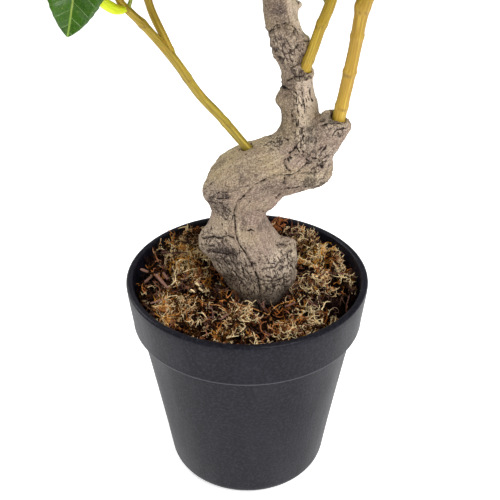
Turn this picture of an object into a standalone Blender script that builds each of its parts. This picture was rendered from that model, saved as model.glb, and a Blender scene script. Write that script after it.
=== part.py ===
"""Potted lemon tree of the moulded, plug-together sort, 0.53 m tall.

A nursery pot holds a cement ballast and a heap of moss. The ballast grips the peg of a stout
moulded trunk. Plastic stems are plugged into sockets in the trunk, and leaves and lemons hang
on the stems. Metres, +Z up; the origin is the centre of the pot's underside, and the front of
the tree, with the stub to its right, looks along -Y.
"""

import math

import bmesh
import bpy
from mathutils import Matrix, Vector
from mathutils.bvhtree import BVHTree

MM = 0.001
GAP = 0.3  # clearance between touching pieces; all lengths below are in millimetres

# ---- pot: a 14 cm nursery pot
POT_HEIGHT = 132.0
RIM_RADIUS = 70.0
RIM_LIP = 4.0  # width of the flat lip
RIM_BAND = 27.7  # height of the band under the lip
BAND_FOOT_RADIUS = 67.5
BODY_TOP_RADIUS = 63.9
BODY_FOOT_RADIUS = 48.5
FOOT_ROUNDING = 8.0
POT_WALL = 1.9
POT_FLOOR = 2.4
DRAIN_HOLES = 6
DRAIN_RADIUS = 4.0
DRAIN_CIRCLE = 30.0
POT_SEGMENTS = 64
LIP_ROUNDING = 1.2
LIP_CHAMFER = 0.8  # of the lip's inner edge
LIP_DEPTH = 3.0  # how far down the lip's inner side is thickened
LIP_DRAFT = 0.4  # and how much that side leans
BAND_ROUNDING = 0.9  # of the band's lower edge
INNER_STEP = (-2.5, 1.0)  # the inner wall's step, from its start to its end, about the band's foot
INNER_CORNER = 5.0  # between the floor and the wall

# ---- ballast and moss
BALLAST_TOP = 94.0
BALLAST_CORNER = 6.0  # slope between its foot and its side
BALLAST_EDGE = 1.5  # chamfer of its upper edge
PEG_RADIUS = 9.0
PEG_FOOT = 44.0  # height of the peg's lower end in the ballast
MOSS_MOUTH = 17.8  # radius of the hollow round the trunk's foot
MOSS_MOUTH_SHIFT = 5.5  # and how far to the right it lies
MOSS_EDGE = 63.4
MOSS_HEIGHT = 122.0  # of its middle, before it is heaped
MOSS_FOOT = 3.0  # how far above the ballast the hollow widens
MOSS_THROAT = 4.0  # how far below the band's foot the moss narrows, and how far above it widens
MOSS_DOME = (-4, -1, 1, 2, 1.5, -1, -4)  # rise of the top from the hollow's edge to the rim
MOSS_DOME_AT = (0.02, 0.11, 0.31, 0.57, 0.82, 0.95, 1.0)  # and where, as shares of that way
HEAP_TOP = 5.0  # how much higher the moss lies on its high side than on average
HEAP_SIDE = 125.0  # direction of that side, degrees from the right towards the back
HEAP_RISE = 2.5
SINK = ((56, -24), (13, 20), 8.0)  # a sunken place at the right front: centre, reach, depth
BED_SEGMENTS = 48

# ---- trunk: centre line and radius (x, y, z, r), from the foot to the top
TRUNK_LINE = (
    (3, 0, 110, 12.5),
    (6, 0, 121, 16.5),
    (6.5, -2, 131, 18.5),
    (5, -4, 141, 18.5),
    (1.5, -5, 152, 18.5),
    (-5, -3, 164, 17.5),
    (-5, 0, 174, 15.0),
    (-5, -1, 184, 17.5),
    (-3.8, -5, 195, 17.8),
    (5, -8, 203, 15.9),
    (15, -7, 206.5, 14.8),
    (23.8, -5, 212, 14.3),
    (27.4, -1, 220, 12.1),
    (28, 3, 226.5, 10.7),
    (27.8, 4, 233, 10.4),
    (26.4, 5, 239, 9.1),
    (26.2, 5, 246, 8.5),
    (25.7, 4, 253, 8.2),
    (24.2, 3, 259, 8.9),
    (21.1, 1, 266, 8.5),
    (19.7, -1, 273, 9.1),
    (17.5, -2, 279, 8.6),
    (16.7, -3, 286, 8.2),
    (15.3, -4, 292, 8.4),
    (12.5, -4, 308, 8.6),
    (9, -2, 326, 8.0),
    (7, 1, 344, 8.4),
    (7.5, 3, 360, 7.8),
    (8, 3, 372, 6.8),
)
STUB_LINE = (
    (22, -4, 205, 13.0),
    (28.3, -3, 207.5, 12.8),
    (35.6, -7, 216, 11.5),
    (41.8, -10, 225, 9.8),
    (45, -12, 231, 9.0),
    (46.6, -13, 235.5, 8.2),
)
# knuckles and burrs on the trunk: centre, then half sizes
TRUNK_LOBES = (
    ((-15, -8, 158.5), (13, 12, 9.5)),
    ((17, -7, 145), (12, 12, 14)),
    ((21.5, -9, 153), (7, 8, 7)),
    ((-8, -7, 147), (13, 11, 13)),
    ((-1, -5, 134), (12.5, 12, 12)),
    ((20.5, -6, 136), (8.5, 10, 10)),
    ((-3, -8, 171), (14.5, 10, 13)),
    ((9, -8, 187), (9, 10, 8)),
    ((-14, -6, 189), (11, 13, 9)),
    ((22, -8, 198), (13, 11, 9)),
    ((33, -8, 203.5), (14, 11, 10.5)),
    ((40, -12, 219), (7, 8, 9)),
    ((17.4, 3, 238.5), (4.4, 4, 4.4)),
    ((30, -3, 253.5), (4.5, 5, 6)),
    ((28.5, 0, 266), (4.8, 6, 8.5)),
    ((16.6, 0, 261), (2.4, 3, 2.6)),
    ((13.6, -1, 270), (2.4, 3, 2.8)),
    ((24.5, -2, 288.5), (2.2, 3, 2.4)),
    ((3, 6, 334), (4, 4, 5)),
)
TRUNK_VOXEL = 2.6
TRUNK_SMOOTHING = 3
TRUNK_TRIANGLES = 3400
SOCKET_DEPTH = 10.0

# ---- stems: name, then centre line and radius from the socket's bottom outwards, then twigs
STEMS = {
    "stem_left": (
        (
            (5.4, -8.6, 209.4, 2.4),
            (-0.4, -9, 216.9, 2.4),
            (-13.6, -10.5, 234.4, 2.4),
            (-24.1, -12, 247.4, 2.35),
            (-35.6, -13, 265.6, 2.4),
            (-48.5, -13, 281.6, 2.05),
            (-54.6, -13, 288.0, 2.0),
            (-59.6, -13, 294.0, 1.9),
            (-63.5, -13.5, 308, 1.8),
            (-66, -16, 326, 1.7),
            (-72, -22, 346, 1.5),
            (-82, -30, 362, 1.2),
        ),
        (
            (
                (-35.6, -13, 265.6, 2.0),
                (-39.6, -10.5, 274.8, 2.0),
                (-46.2, -5, 288, 2.0),
                (-50, -3, 305, 1.8),
                (-57, 8, 326, 1.6),
                (-70, 22, 344, 1.3),
            ),
        ),
    ),
    "stem_middle": (
        (
            (28.3, 0.8, 250, 2.8),
            (30.6, -3.4, 258.7, 2.85),
            (33.9, -6, 268, 2.8),
            (39.6, -6, 291, 2.8),
            (43, -4, 305, 2.5),
            (47, 3, 322, 2.2),
            (50, 16, 340, 1.8),
            (56, 32, 358, 1.4),
        ),
        (),
    ),
    "stem_right": (
        (
            (45.4, -12.3, 227, 3.3),
            (47.2, -13, 238, 3.4),
            (50, -13, 255, 3.3),
            (52.4, -13, 271, 3.2),
            (54.2, -13, 286, 3.4),
            (55.8, -13, 294, 3.8),
            (63, -13, 306, 2.6),
            (76, -12, 326, 2.2),
            (92, -12, 344, 1.8),
            (108, -14, 358, 1.4),
        ),
        (
            (
                (55.6, -13, 292, 2.5),
                (57.5, -17, 308, 2.3),
                (62, -28, 330, 2.0),
                (70, -44, 350, 1.5),
            ),
        ),
    ),
    "stem_crown_left": (
        (
            (8.5, -1, 330, 2.4),
            (1, -3, 337, 2.5),
            (-14, -5, 352, 2.4),
            (-34, -2, 370, 2.2),
            (-58, 4, 388, 1.9),
            (-84, 12, 402, 1.5),
        ),
        (
            (
                (-34, -2, 370, 1.9),
                (-40, 16, 384, 1.8),
                (-44, 40, 398, 1.4),
            ),
        ),
    ),
    "stem_crown_back": (
        (
            (10, 2, 316, 2.5),
            (11, 9, 321.5, 2.6),
            (13, 28, 336, 2.5),
            (12, 54, 354, 2.2),
            (8, 82, 370, 1.9),
            (4, 110, 380, 1.5),
        ),
        (
            (
                (12, 54, 354, 1.9),
                (32, 66, 366, 1.7),
                (56, 80, 376, 1.4),
            ),
        ),
    ),
    "stem_crown_front": (
        (
            (7.4, 1, 350, 2.4),
            (6.5, -6.5, 356.5, 2.5),
            (4, -22, 370, 2.4),
            (0, -46, 386, 2.1),
            (-4, -74, 398, 1.8),
            (-8, -100, 404, 1.4),
        ),
        (
            (
                (0, -46, 386, 1.8),
                (-20, -56, 398, 1.7),
                (-42, -70, 408, 1.4),
            ),
        ),
    ),
    "stem_crown_right": (
        (
            (8, 2, 338, 2.4),
            (15.5, 3.5, 344, 2.5),
            (32, 8, 358, 2.4),
            (54, 10, 376, 2.1),
            (80, 8, 392, 1.8),
            (104, 2, 402, 1.4),
        ),
        (
            (
                (54, 10, 376, 1.8),
                (66, -8, 392, 1.7),
                (78, -30, 406, 1.4),
            ),
        ),
    ),
    "stem_crown_top": (
        (
            (8, 3, 361, 2.6),
            (8, 3.5, 374, 2.6),
            (5, 6, 396, 2.5),
            (-2, 8, 422, 2.2),
            (-5, 6, 446, 1.8),
            (-2, 2, 468, 1.4),
        ),
        (
            (
                (3, 6.6, 404, 1.9),
                (20, 14, 420, 1.8),
                (38, 26, 436, 1.4),
            ),
            (
                (-3, 8, 428, 1.8),
                (-22, 2, 440, 1.7),
                (-42, -8, 452, 1.4),
            ),
        ),
    ),
}
STEM_SIDES = 8
STEM_STEP = 9.0  # spacing of the rings along a stem

# ---- leaves: how many each line of a stem bears, and where along it they begin (main line
# first, then its twigs); the last leaf stands on the line's end
LEAVES_ON = {
    "stem_left": ((3, 0.74), (3, 0.45)),
    "stem_middle": ((3, 0.62),),
    "stem_right": ((3, 0.72), (3, 0.4)),
    "stem_crown_left": ((3, 0.5), (2, 0.6)),
    "stem_crown_back": ((3, 0.5), (2, 0.6)),
    "stem_crown_front": ((3, 0.5), (2, 0.6)),
    "stem_crown_right": ((3, 0.5), (2, 0.6)),
    "stem_crown_top": ((2, 0.75), (2, 0.6), (2, 0.6)),
}
LEAF_SIZES = ((66, 31), (74, 34), (58, 28))  # length with the stalk, width
LEAF_DROOPS = (34, 48, 26)  # degrees that the midrib bends over its length
LEAF_STALK = 10.0
LEAF_STALK_WIDTH = 2.2
LEAF_THICKNESS = 1.0
LEAF_STALK_TAPER = 0.5
LEAF_FOLD = 0.22  # rise of the blade's sides for each unit away from the midrib
BLADE_FULLNESS = 0.8  # 1 is a parabola, less is fuller towards both ends
BLADE_LEAN = (1.12, 0.24)  # factor of the width at the stalk, and what it loses to the tip
BLADE_STATIONS = (0.14, 0.32, 0.52, 0.72, 0.89, 1.0)  # along the blade
LEAF_CLEARANCE = 1.6
LEAF_ROOM = 3.0  # thickness of the room that a leaf needs
SIDE_LEAF_AHEAD = 0.6  # how much a side leaf follows its twig; its own side weighs 1
END_LEAF_ASIDE = 0.25  # how much the leaf at a line's end turns aside
LEAF_FACE_OUT = 0.5  # how much the upper side turns away from the trunk; upwards weighs 1
LEAF_FACE_ROUND = (0.3, 70)  # and round the twig: its weight, and degrees from leaf to leaf
GOLDEN_ANGLE = 137.5  # from each leaf to the next, round the twig
LEAF_TURNS = 18  # sides of the twig that a leaf tries
LEAF_LIFTS = (0.0, 0.5, 1.1, -0.4)  # and how much it is bent upwards there
# the low leaf on the left stem: foot, direction of the midrib, upper side's direction
LOW_LEAF = ((-69.1, -22.7, 342.9), (-0.08, -0.61, -0.79), (0.36, -0.65, 0.67))
LOW_LEAF_SIZE = (62, 28)
LOW_LEAF_DROOP = 20
# no other leaf or lemon hangs below this line, so that pot and trunk stay in full view:
# its height over the trunk's axis, and how much lower it lies for each millimetre to the back
SKIRT_HEIGHT = 297.0
SKIRT_FALL = 0.286

# ---- lemons: where on a stem each hangs (stem, line, share of the line's length)
LEMONS = (
    ("stem_crown_left", 1, 0.9),
    ("stem_crown_right", 0, 0.70),
    ("stem_crown_front", 0, 0.62),
    ("stem_crown_back", 0, 0.66),
    ("stem_crown_top", 1, 0.80),
)
LEMON_LENGTH = 52.0
LEMON_RADIUS = 19.0
LEMON_STALK = 12.0
LEMON_STALK_RADIUS = 1.3
LEMON_SEGMENTS = 16

# name: (red, green, blue), roughness
FINISHES = {
    "pot": ((0.045, 0.047, 0.052), 0.6),
    "ballast": ((0.42, 0.40, 0.37), 0.95),
    "moss": ((0.30, 0.17, 0.05), 0.95),
    "trunk": ((0.36, 0.29, 0.22), 0.85),
    "stem": ((0.52, 0.38, 0.05), 0.45),
    "leaf": ((0.02, 0.10, 0.02), 0.35),
    "lemon": ((0.85, 0.60, 0.04), 0.45),
}


# ---------------------------------------------------------------- scene helpers
def clear_scene():
    for item in list(bpy.data.objects):
        bpy.data.objects.remove(item, do_unlink=True)


def collection(name):
    made = bpy.data.collections.new(name)
    bpy.context.scene.collection.children.link(made)
    return made


clear_scene()
PARTS = collection("potted_lemon_tree")
CUTTERS = collection("cutters")


def material(object_name, finish):
    colour, roughness = FINISHES[finish]
    made = bpy.data.materials.new(object_name)
    made.use_nodes = True
    shader = made.node_tree.nodes["Principled BSDF"]
    shader.inputs["Base Color"].default_value = (*colour, 1.0)
    shader.inputs["Roughness"].default_value = roughness
    shader.inputs["Metallic"].default_value = 0.0
    made.diffuse_color = (*colour, 1.0)
    return made


def add_object(name, data, finish=None):
    """A part if it has a finish, otherwise a cutter."""
    item = bpy.data.objects.new(name, data)
    if finish:
        PARTS.objects.link(item)
        item.data.materials.clear()
        item.data.materials.append(material(name, finish))
    else:
        CUTTERS.objects.link(item)
        item.hide_render = True
        item.display_type = "WIRE"
    return item


def settled_mesh(item):
    """The mesh that the object's modifiers make, with its doubles welded."""
    bpy.context.view_layer.update()
    graph = bpy.context.evaluated_depsgraph_get()
    mesh = bpy.data.meshes.new_from_object(item.evaluated_get(graph))
    work = bmesh.new()
    work.from_mesh(mesh)
    bmesh.ops.remove_doubles(work, verts=work.verts, dist=0.01 * MM)
    work.to_mesh(mesh)
    work.free()
    return mesh


def smooth_shading(item, angle=40):
    item.data.shade_smooth()
    item.data.set_sharp_from_angle(angle=math.radians(angle))


def turned_mesh(name, profile):
    """An open outline of (radius, height) points for a Screw modifier."""
    work = bmesh.new()
    points = [work.verts.new((r * MM, 0, z * MM)) for r, z in profile]
    for low, high in zip(points, points[1:]):
        work.edges.new((low, high))
    mesh = bpy.data.meshes.new(name)
    work.to_mesh(mesh)
    work.free()
    return mesh


def turn(item, segments):
    screw = item.modifiers.new("Turned", "SCREW")
    screw.steps = segments
    screw.render_steps = segments
    screw.use_merge_vertices = True
    screw.merge_threshold = 0.05 * MM


def combine(item, cutter, operation="DIFFERENCE"):
    boolean = item.modifiers.new(operation.title(), "BOOLEAN")
    boolean.operation = operation
    boolean.solver = "EXACT"
    boolean.object = cutter


def cylinder_cutter(name, radius, low, high, segments):
    """An upright cylinder between two points, kept among the cutters."""
    bpy.ops.mesh.primitive_cylinder_add(
        vertices=segments,
        radius=radius * MM,
        depth=(high[2] - low[2]) * MM,
        location=(low[0] * MM, low[1] * MM, (low[2] + high[2]) / 2 * MM),
    )
    cutter = bpy.context.object
    cutter.name = name
    for home in list(cutter.users_collection):
        home.objects.unlink(cutter)
    CUTTERS.objects.link(cutter)
    cutter.hide_render = True
    cutter.display_type = "WIRE"
    return cutter


def arc(centre, radius, start, end, count):
    """Points of an arc in the profile plane, angles in degrees from +X towards +Z."""
    points = []
    for k in range(count):
        angle = math.radians(start + (end - start) * k / (count - 1))
        points.append(
            (centre[0] + radius * math.cos(angle), centre[1] + radius * math.sin(angle))
        )
    return points


# ---------------------------------------------------------------- lines and tubes
def smooth_line(points, step):
    """Points about a step apart on a Catmull-Rom curve through (x, y, z, r) points."""
    places = [Vector(p) for p in points]
    ends = [2 * places[0] - places[1], 2 * places[-1] - places[-2]]
    padded = [ends[0], *places, ends[1]]
    line = [places[0]]
    for a, b, c, d in zip(padded, padded[1:], padded[2:], padded[3:]):
        pieces = max(1, round((c - b).length / step))
        for k in range(1, pieces + 1):
            t = k / pieces
            line.append(
                0.5
                * (
                    2 * b
                    + (c - a) * t
                    + (2 * a - 5 * b + 4 * c - d) * t**2
                    + (3 * b - a - 3 * c + d) * t**3
                )
            )
    return line


def tube(name, line, resolution):
    """A closed tube along (x, y, z, r) points, as a mesh."""
    curve = bpy.data.curves.new(name, "CURVE")
    curve.dimensions = "3D"
    curve.bevel_depth = MM
    curve.bevel_resolution = resolution
    curve.use_fill_caps = True
    spline = curve.splines.new("POLY")
    spline.points.add(len(line) - 1)
    for point, place in zip(spline.points, line):
        point.co = (*(place.xyz * MM), 1)
        point.radius = place.w
    item = bpy.data.objects.new(name, curve)
    CUTTERS.objects.link(item)
    mesh = settled_mesh(item)
    bpy.data.objects.remove(item)
    bpy.data.curves.remove(curve)
    return mesh


def point_along(line, share):
    """Place, direction and radius at a share of a line's length."""
    lengths = [(b.xyz - a.xyz).length for a, b in zip(line, line[1:])]
    left = share * sum(lengths)
    for a, b, length in zip(line, line[1:], lengths):
        if left <= length or b is line[-1]:
            t = min(1.0, left / length)
            here = a.lerp(b, t)
            return here.xyz, (b.xyz - a.xyz).normalized(), here.w
        left -= length


# ---------------------------------------------------------------- pot, ballast, moss
def pot_wall_radius(z):
    """Outer radius of the pot's body at a height below the band."""
    step_height = POT_HEIGHT - RIM_BAND
    return BODY_FOOT_RADIUS + (BODY_TOP_RADIUS - BODY_FOOT_RADIUS) * z / step_height


def build_pot():
    step_height = POT_HEIGHT - RIM_BAND
    lip_inner = RIM_RADIUS - RIM_LIP
    band_inner = BAND_FOOT_RADIUS - POT_WALL
    body_inner = BODY_TOP_RADIUS - POT_WALL
    corner_top = POT_FLOOR + INNER_CORNER
    inner_foot = pot_wall_radius(corner_top) - POT_WALL
    profile = [(0, POT_FLOOR), (inner_foot - INNER_CORNER, POT_FLOOR), (inner_foot, corner_top)]
    profile += [(body_inner, step_height + INNER_STEP[0])]
    profile += [(band_inner, step_height + INNER_STEP[1])]
    profile += [(lip_inner - LIP_DRAFT, POT_HEIGHT - LIP_DEPTH)]
    profile += [(lip_inner, POT_HEIGHT - LIP_CHAMFER), (lip_inner + LIP_CHAMFER, POT_HEIGHT)]
    profile += arc((RIM_RADIUS - LIP_ROUNDING, POT_HEIGHT - LIP_ROUNDING), LIP_ROUNDING, 90, 0, 3)
    profile += [(BAND_FOOT_RADIUS, step_height + BAND_ROUNDING)]
    profile += [(BAND_FOOT_RADIUS - BAND_ROUNDING, step_height)]
    profile += [(BODY_TOP_RADIUS, step_height)]
    corner = (pot_wall_radius(FOOT_ROUNDING) - FOOT_ROUNDING, FOOT_ROUNDING)
    profile += arc(corner, FOOT_ROUNDING, 0, -90, 4)
    profile += [(0, 0)]
    pot = add_object("pot", turned_mesh("pot", profile), "pot")
    turn(pot, POT_SEGMENTS)
    for k in range(DRAIN_HOLES):
        angle = 2 * math.pi * k / DRAIN_HOLES
        x, y = DRAIN_CIRCLE * math.cos(angle), DRAIN_CIRCLE * math.sin(angle)
        low, high = (x, y, -POT_FLOOR), (x, y, 2 * POT_FLOOR)
        combine(pot, cylinder_cutter(f"drain_{k + 1}", DRAIN_RADIUS, low, high, 12))
    smooth_shading(pot)


def build_ballast():
    foot = POT_FLOOR + GAP
    edge_foot = pot_wall_radius(foot + BALLAST_CORNER) - POT_WALL - GAP
    edge_top = pot_wall_radius(BALLAST_TOP) - POT_WALL - GAP
    socket = PEG_RADIUS + GAP
    profile = [(0, PEG_FOOT - GAP), (socket, PEG_FOOT - GAP), (socket, BALLAST_TOP)]
    profile += [(edge_top - BALLAST_EDGE, BALLAST_TOP), (edge_top, BALLAST_TOP - BALLAST_EDGE)]
    profile += [(edge_foot, foot + BALLAST_CORNER), (edge_foot - BALLAST_CORNER - 1, foot), (0, foot)]
    ballast = add_object("ballast", turned_mesh("ballast", profile), "ballast")
    turn(ballast, BED_SEGMENTS)
    smooth_shading(ballast)


def moss_rise(x, y):
    """How far the moss is heaped above its middle height, or sunk below it."""
    angle = math.atan2(y, x)
    outwards = min(1.0, math.hypot(x, y) / MOSS_EDGE)
    heap = (HEAP_RISE + HEAP_TOP * math.cos(angle - math.radians(HEAP_SIDE))) * outwards**2
    middle, reach, depth = SINK
    away = ((x - middle[0]) / reach[0]) ** 2 + ((y - middle[1]) / reach[1]) ** 2
    hollow = -depth * math.exp(-away)
    lumps = 1.2 * math.sin(0.21 * x + 1.0) * math.cos(0.19 * y) + 0.7 * math.sin(0.4 * (x - y))
    return heap + hollow + lumps * outwards


def build_moss():
    foot = BALLAST_TOP + GAP
    step_height = POT_HEIGHT - RIM_BAND
    body_edge = pot_wall_radius(foot) - POT_WALL - GAP
    throat = PEG_RADIUS + GAP
    profile = [(throat, foot), (throat, foot + 1), (MOSS_MOUTH, foot + MOSS_FOOT)]
    for share, rise in zip(MOSS_DOME_AT, MOSS_DOME):
        profile.append((MOSS_MOUTH + share * (MOSS_EDGE - MOSS_MOUTH), MOSS_HEIGHT + rise))
    profile += [(MOSS_EDGE, step_height + MOSS_THROAT), (body_edge, step_height - MOSS_THROAT)]
    profile += [(body_edge, foot), (throat, foot)]
    moss = add_object("moss_bed", turned_mesh("moss_bed", profile), "moss")
    turn(moss, BED_SEGMENTS)
    heaped = settled_mesh(moss)
    for vertex in heaped.vertices:
        x, y, z = vertex.co / MM
        share = min(1.0, max(0.0, (z - step_height - MOSS_THROAT) / (2 * MOSS_THROAT)))
        vertex.co.z += share * moss_rise(x, y) * MM
        if z > foot + 2:
            nearness = max(0.0, 1 - (math.hypot(x, y) - MOSS_MOUTH) / (MOSS_EDGE - MOSS_MOUTH) * 2)
            vertex.co.x += MOSS_MOUTH_SHIFT * nearness * MM
    moss.modifiers.clear()
    moss.data = heaped
    smooth_shading(moss, 60)


# ---------------------------------------------------------------- trunk
def sleeve(line):
    """The room that a plugged-in stem takes: its own line, a little fatter and deeper."""
    foot, mouth = line[0].xyz, line[1].xyz
    radius = max(point.w for point in line[:4]) + 2 * GAP
    room = [Vector((*(foot - (mouth - foot).normalized() * GAP), radius))]
    length = 0.0
    for here, after in zip(line, line[1:]):
        length += (after.xyz - here.xyz).length
        room.append(Vector((*after.xyz, radius)))
        if length > 2.5 * SOCKET_DEPTH:
            return room
    return room


def build_trunk(stem_lines):
    """The moulded trunk: tubes and knuckles melted together, a peg below, sockets for stems."""
    work = bmesh.new()
    for name, points in (("trunk_line", TRUNK_LINE), ("stub_line", STUB_LINE)):
        mesh = tube(name, smooth_line(points, 3), 4)
        work.from_mesh(mesh)
        bpy.data.meshes.remove(mesh)
    for centre, half in TRUNK_LOBES:
        place = Matrix.Translation(Vector(centre) * MM) @ Matrix.Diagonal((*half, 1))
        bmesh.ops.create_icosphere(work, subdivisions=3, radius=MM, matrix=place)
    mesh = bpy.data.meshes.new("trunk")
    work.to_mesh(mesh)
    work.free()
    trunk = add_object("trunk", mesh, "trunk")
    melt = trunk.modifiers.new("Melted", "REMESH")
    melt.mode = "VOXEL"
    melt.voxel_size = TRUNK_VOXEL * MM
    soften = trunk.modifiers.new("Softened", "SMOOTH")
    soften.factor = 0.5
    soften.iterations = TRUNK_SMOOTHING
    melted = settled_mesh(trunk)
    melted.calc_loop_triangles()
    thin = trunk.modifiers.new("Thinned", "DECIMATE")
    thin.ratio = TRUNK_TRIANGLES / len(melted.loop_triangles)
    bpy.data.meshes.remove(melted)
    peg_top = TRUNK_LINE[1][2]
    peg = cylinder_cutter("trunk_peg", PEG_RADIUS, (0, 0, PEG_FOOT), (0, 0, peg_top), 24)
    combine(trunk, peg, "UNION")
    for name, line in stem_lines.items():
        combine(trunk, add_object(name + "_socket", tube(name + "_socket", sleeve(line), 3)))
    smooth_shading(trunk, 70)
    return trunk


# ---------------------------------------------------------------- stems
def build_stem(name, lines):
    """One plastic stem: its main line with the twigs moulded on."""
    stem = add_object(name, tube(name, lines[0], STEM_SIDES // 2 - 2), "stem")
    for number, line in enumerate(lines[1:], 1):
        twig = add_object(f"{name}_twig_{number}", tube(f"{name}_twig", line, STEM_SIDES // 2 - 2))
        combine(stem, twig, "UNION")
    smooth_shading(stem, 60)
    return stem


# ---------------------------------------------------------------- leaves
def leaf_mesh(name, length, width, droop, thickness=LEAF_THICKNESS, spare=0.0):
    """A leaf along +X from its stalk's foot, upper side +Z, drooping and folded at the midrib.

    spare widens the leaf and starts it further out, for the room that it needs.
    """
    stations = [3 * spare, LEAF_STALK]
    stations += [LEAF_STALK + share * (length - LEAF_STALK) for share in BLADE_STATIONS]
    work = bmesh.new()
    bmesh.ops.create_grid(work, x_segments=len(stations) - 1, y_segments=2, size=1)
    for vertex in work.verts:
        station = round((vertex.co.x + 1) / 2 * (len(stations) - 1))
        along = stations[station]
        share = max(0.0, (along - LEAF_STALK) / (length - LEAF_STALK))
        blade = width / 2 * (4 * share * (1 - share)) ** BLADE_FULLNESS
        blade *= BLADE_LEAN[0] - BLADE_LEAN[1] * share
        rib = LEAF_STALK_WIDTH / 2 * (1 - LEAF_STALK_TAPER * share)
        across = (max(rib, blade) + spare) * vertex.co.y
        turn_rate = math.radians(droop) / length
        angle = turn_rate * along
        rise = LEAF_FOLD * abs(across) if share > 0 else 0.0
        vertex.co = Vector(
            (
                math.sin(angle) / turn_rate + rise * math.sin(angle),
                across,
                (math.cos(angle) - 1) / turn_rate + rise * math.cos(angle),
            )
        )
    bmesh.ops.scale(work, vec=(MM, MM, MM), verts=work.verts)
    sheet = bpy.data.meshes.new(name)
    work.to_mesh(sheet)
    work.free()
    item = add_object(name, sheet)
    solid = item.modifiers.new("Thickness", "SOLIDIFY")
    solid.thickness = thickness * MM
    solid.offset = 0
    mesh = settled_mesh(item)
    bpy.data.objects.remove(item)
    return mesh


def leaf_frame(foot, direction, upper):
    """The matrix that lays a leaf's +X along the direction and its +Z near the upper side."""
    ahead = direction.normalized()
    across = upper.cross(ahead).normalized()
    frame = Matrix((ahead, across, ahead.cross(across))).transposed().to_4x4()
    frame.translation = foot * MM
    return frame


def world_tree(mesh, matrix):
    return BVHTree.FromPolygons(
        [matrix @ vertex.co for vertex in mesh.vertices],
        [tuple(polygon.vertices) for polygon in mesh.polygons],
    )


def below_skirt(mesh, matrix):
    for vertex in mesh.vertices:
        place = matrix @ vertex.co / MM
        if place.z < SKIRT_HEIGHT - SKIRT_FALL * place.y:
            return True
    return False


def side_of(ahead, degrees):
    """A direction square to a line, turned round it from the side that looks up."""
    up = Vector((0, 0, 1)) if abs(ahead.z) < 0.9 else Vector((0, -1, 0))
    side = (up - up.dot(ahead) * ahead).normalized()
    return Matrix.Rotation(math.radians(degrees), 3, ahead) @ side


def leaf_tries(line, share, number):
    """Frames to try for a leaf: its own side of the twig first, then turned further round."""
    place, ahead, radius = point_along(line, share)
    outwards = Vector((place.x, place.y, 0)).normalized()
    for lift in LEAF_LIFTS:
        for k in range(LEAF_TURNS):
            side = side_of(ahead, GOLDEN_ANGLE * number + 360 / LEAF_TURNS * k)
            if share > 0.99:
                direction = ahead + END_LEAF_ASIDE * side + Vector((0, 0, lift))
                foot = place + ahead * 2 * GAP
            else:
                direction = SIDE_LEAF_AHEAD * ahead + side + Vector((0, 0, lift))
                foot = place + side * (radius + 3 * GAP)
            weight, turn_step = LEAF_FACE_ROUND
            upper = Vector((0, 0, 1)) + LEAF_FACE_OUT * outwards
            upper += weight * side_of(ahead, turn_step * number)
            yield leaf_frame(foot, direction, upper)


def build_leaves(stem_lines, taken):
    """Every leaf, each one turned round its twig until it is clear of what is there already."""
    own_mesh = leaf_mesh("leaf_01", *LOW_LEAF_SIZE, LOW_LEAF_DROOP)
    foot, direction, upper = (Vector(v) for v in LOW_LEAF)
    leaf = add_object("leaf_01", own_mesh, "leaf")
    leaf.matrix_world = leaf_frame(foot, direction, upper)
    taken["leaf_01"] = world_tree(own_mesh, leaf.matrix_world)
    seats = [
        (k, stem, line, 1.0 - (1.0 - start) * k / (count - 1))
        for stem, counts in LEAVES_ON.items()
        for line, (count, start) in zip(stem_lines[stem], counts)
        for k in range(count)
    ]
    seats.sort(key=lambda seat: seat[0])  # the leaves at the lines' ends come first
    for number, (_rank, stem, line, share) in enumerate(seats, 2):
        length, width = LEAF_SIZES[number % 3]
        droop = LEAF_DROOPS[number * 2 % 3]
        name = f"leaf_{number:02d}"
        mesh = leaf_mesh(name, length, width, droop)
        room = leaf_mesh(name, length, width, droop, LEAF_ROOM, LEAF_CLEARANCE)
        for frame in leaf_tries(line, share, number):
            own, wide = world_tree(mesh, frame), world_tree(room, frame)
            free = not own.overlap(taken[stem]) and not any(
                wide.overlap(tree) for other, tree in taken.items() if other != stem
            )
            if free and not below_skirt(room, frame):
                break
        else:
            raise RuntimeError(f"no room for {name} on {stem}")
        leaf = add_object(name, mesh, "leaf")
        leaf.matrix_world = frame
        taken[name] = own
        bpy.data.meshes.remove(room)
        smooth_shading(leaf, 80)


# ---------------------------------------------------------------- lemons
def build_lemon(name, place, ahead, radius):
    """A lemon that hangs straight down on its stalk from a point of a stem."""
    level = math.hypot(ahead.x, ahead.y)
    below = (radius + GAP + LEMON_STALK_RADIUS * abs(ahead.z)) / level
    middle = -LEMON_STALK - LEMON_LENGTH / 2
    half = LEMON_LENGTH / 2
    profile = [(0, 0), (LEMON_STALK_RADIUS, 0), (LEMON_STALK_RADIUS, -LEMON_STALK + 1.5)]
    profile += [(4.5, -LEMON_STALK)]
    for k in range(1, 7):
        angle = math.pi * k / 7
        bulge = math.sin(angle) ** 0.85
        profile.append((LEMON_RADIUS * bulge, middle + (half - 3) * math.cos(angle)))
    profile += [(4.2, middle - half + 3), (2.4, middle - half), (0, middle - half)]
    lemon = add_object(name, turned_mesh(name, profile), "lemon")
    turn(lemon, LEMON_SEGMENTS)
    lemon.location = (place - Vector((0, 0, below))) * MM
    smooth_shading(lemon, 50)
    return lemon


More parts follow.
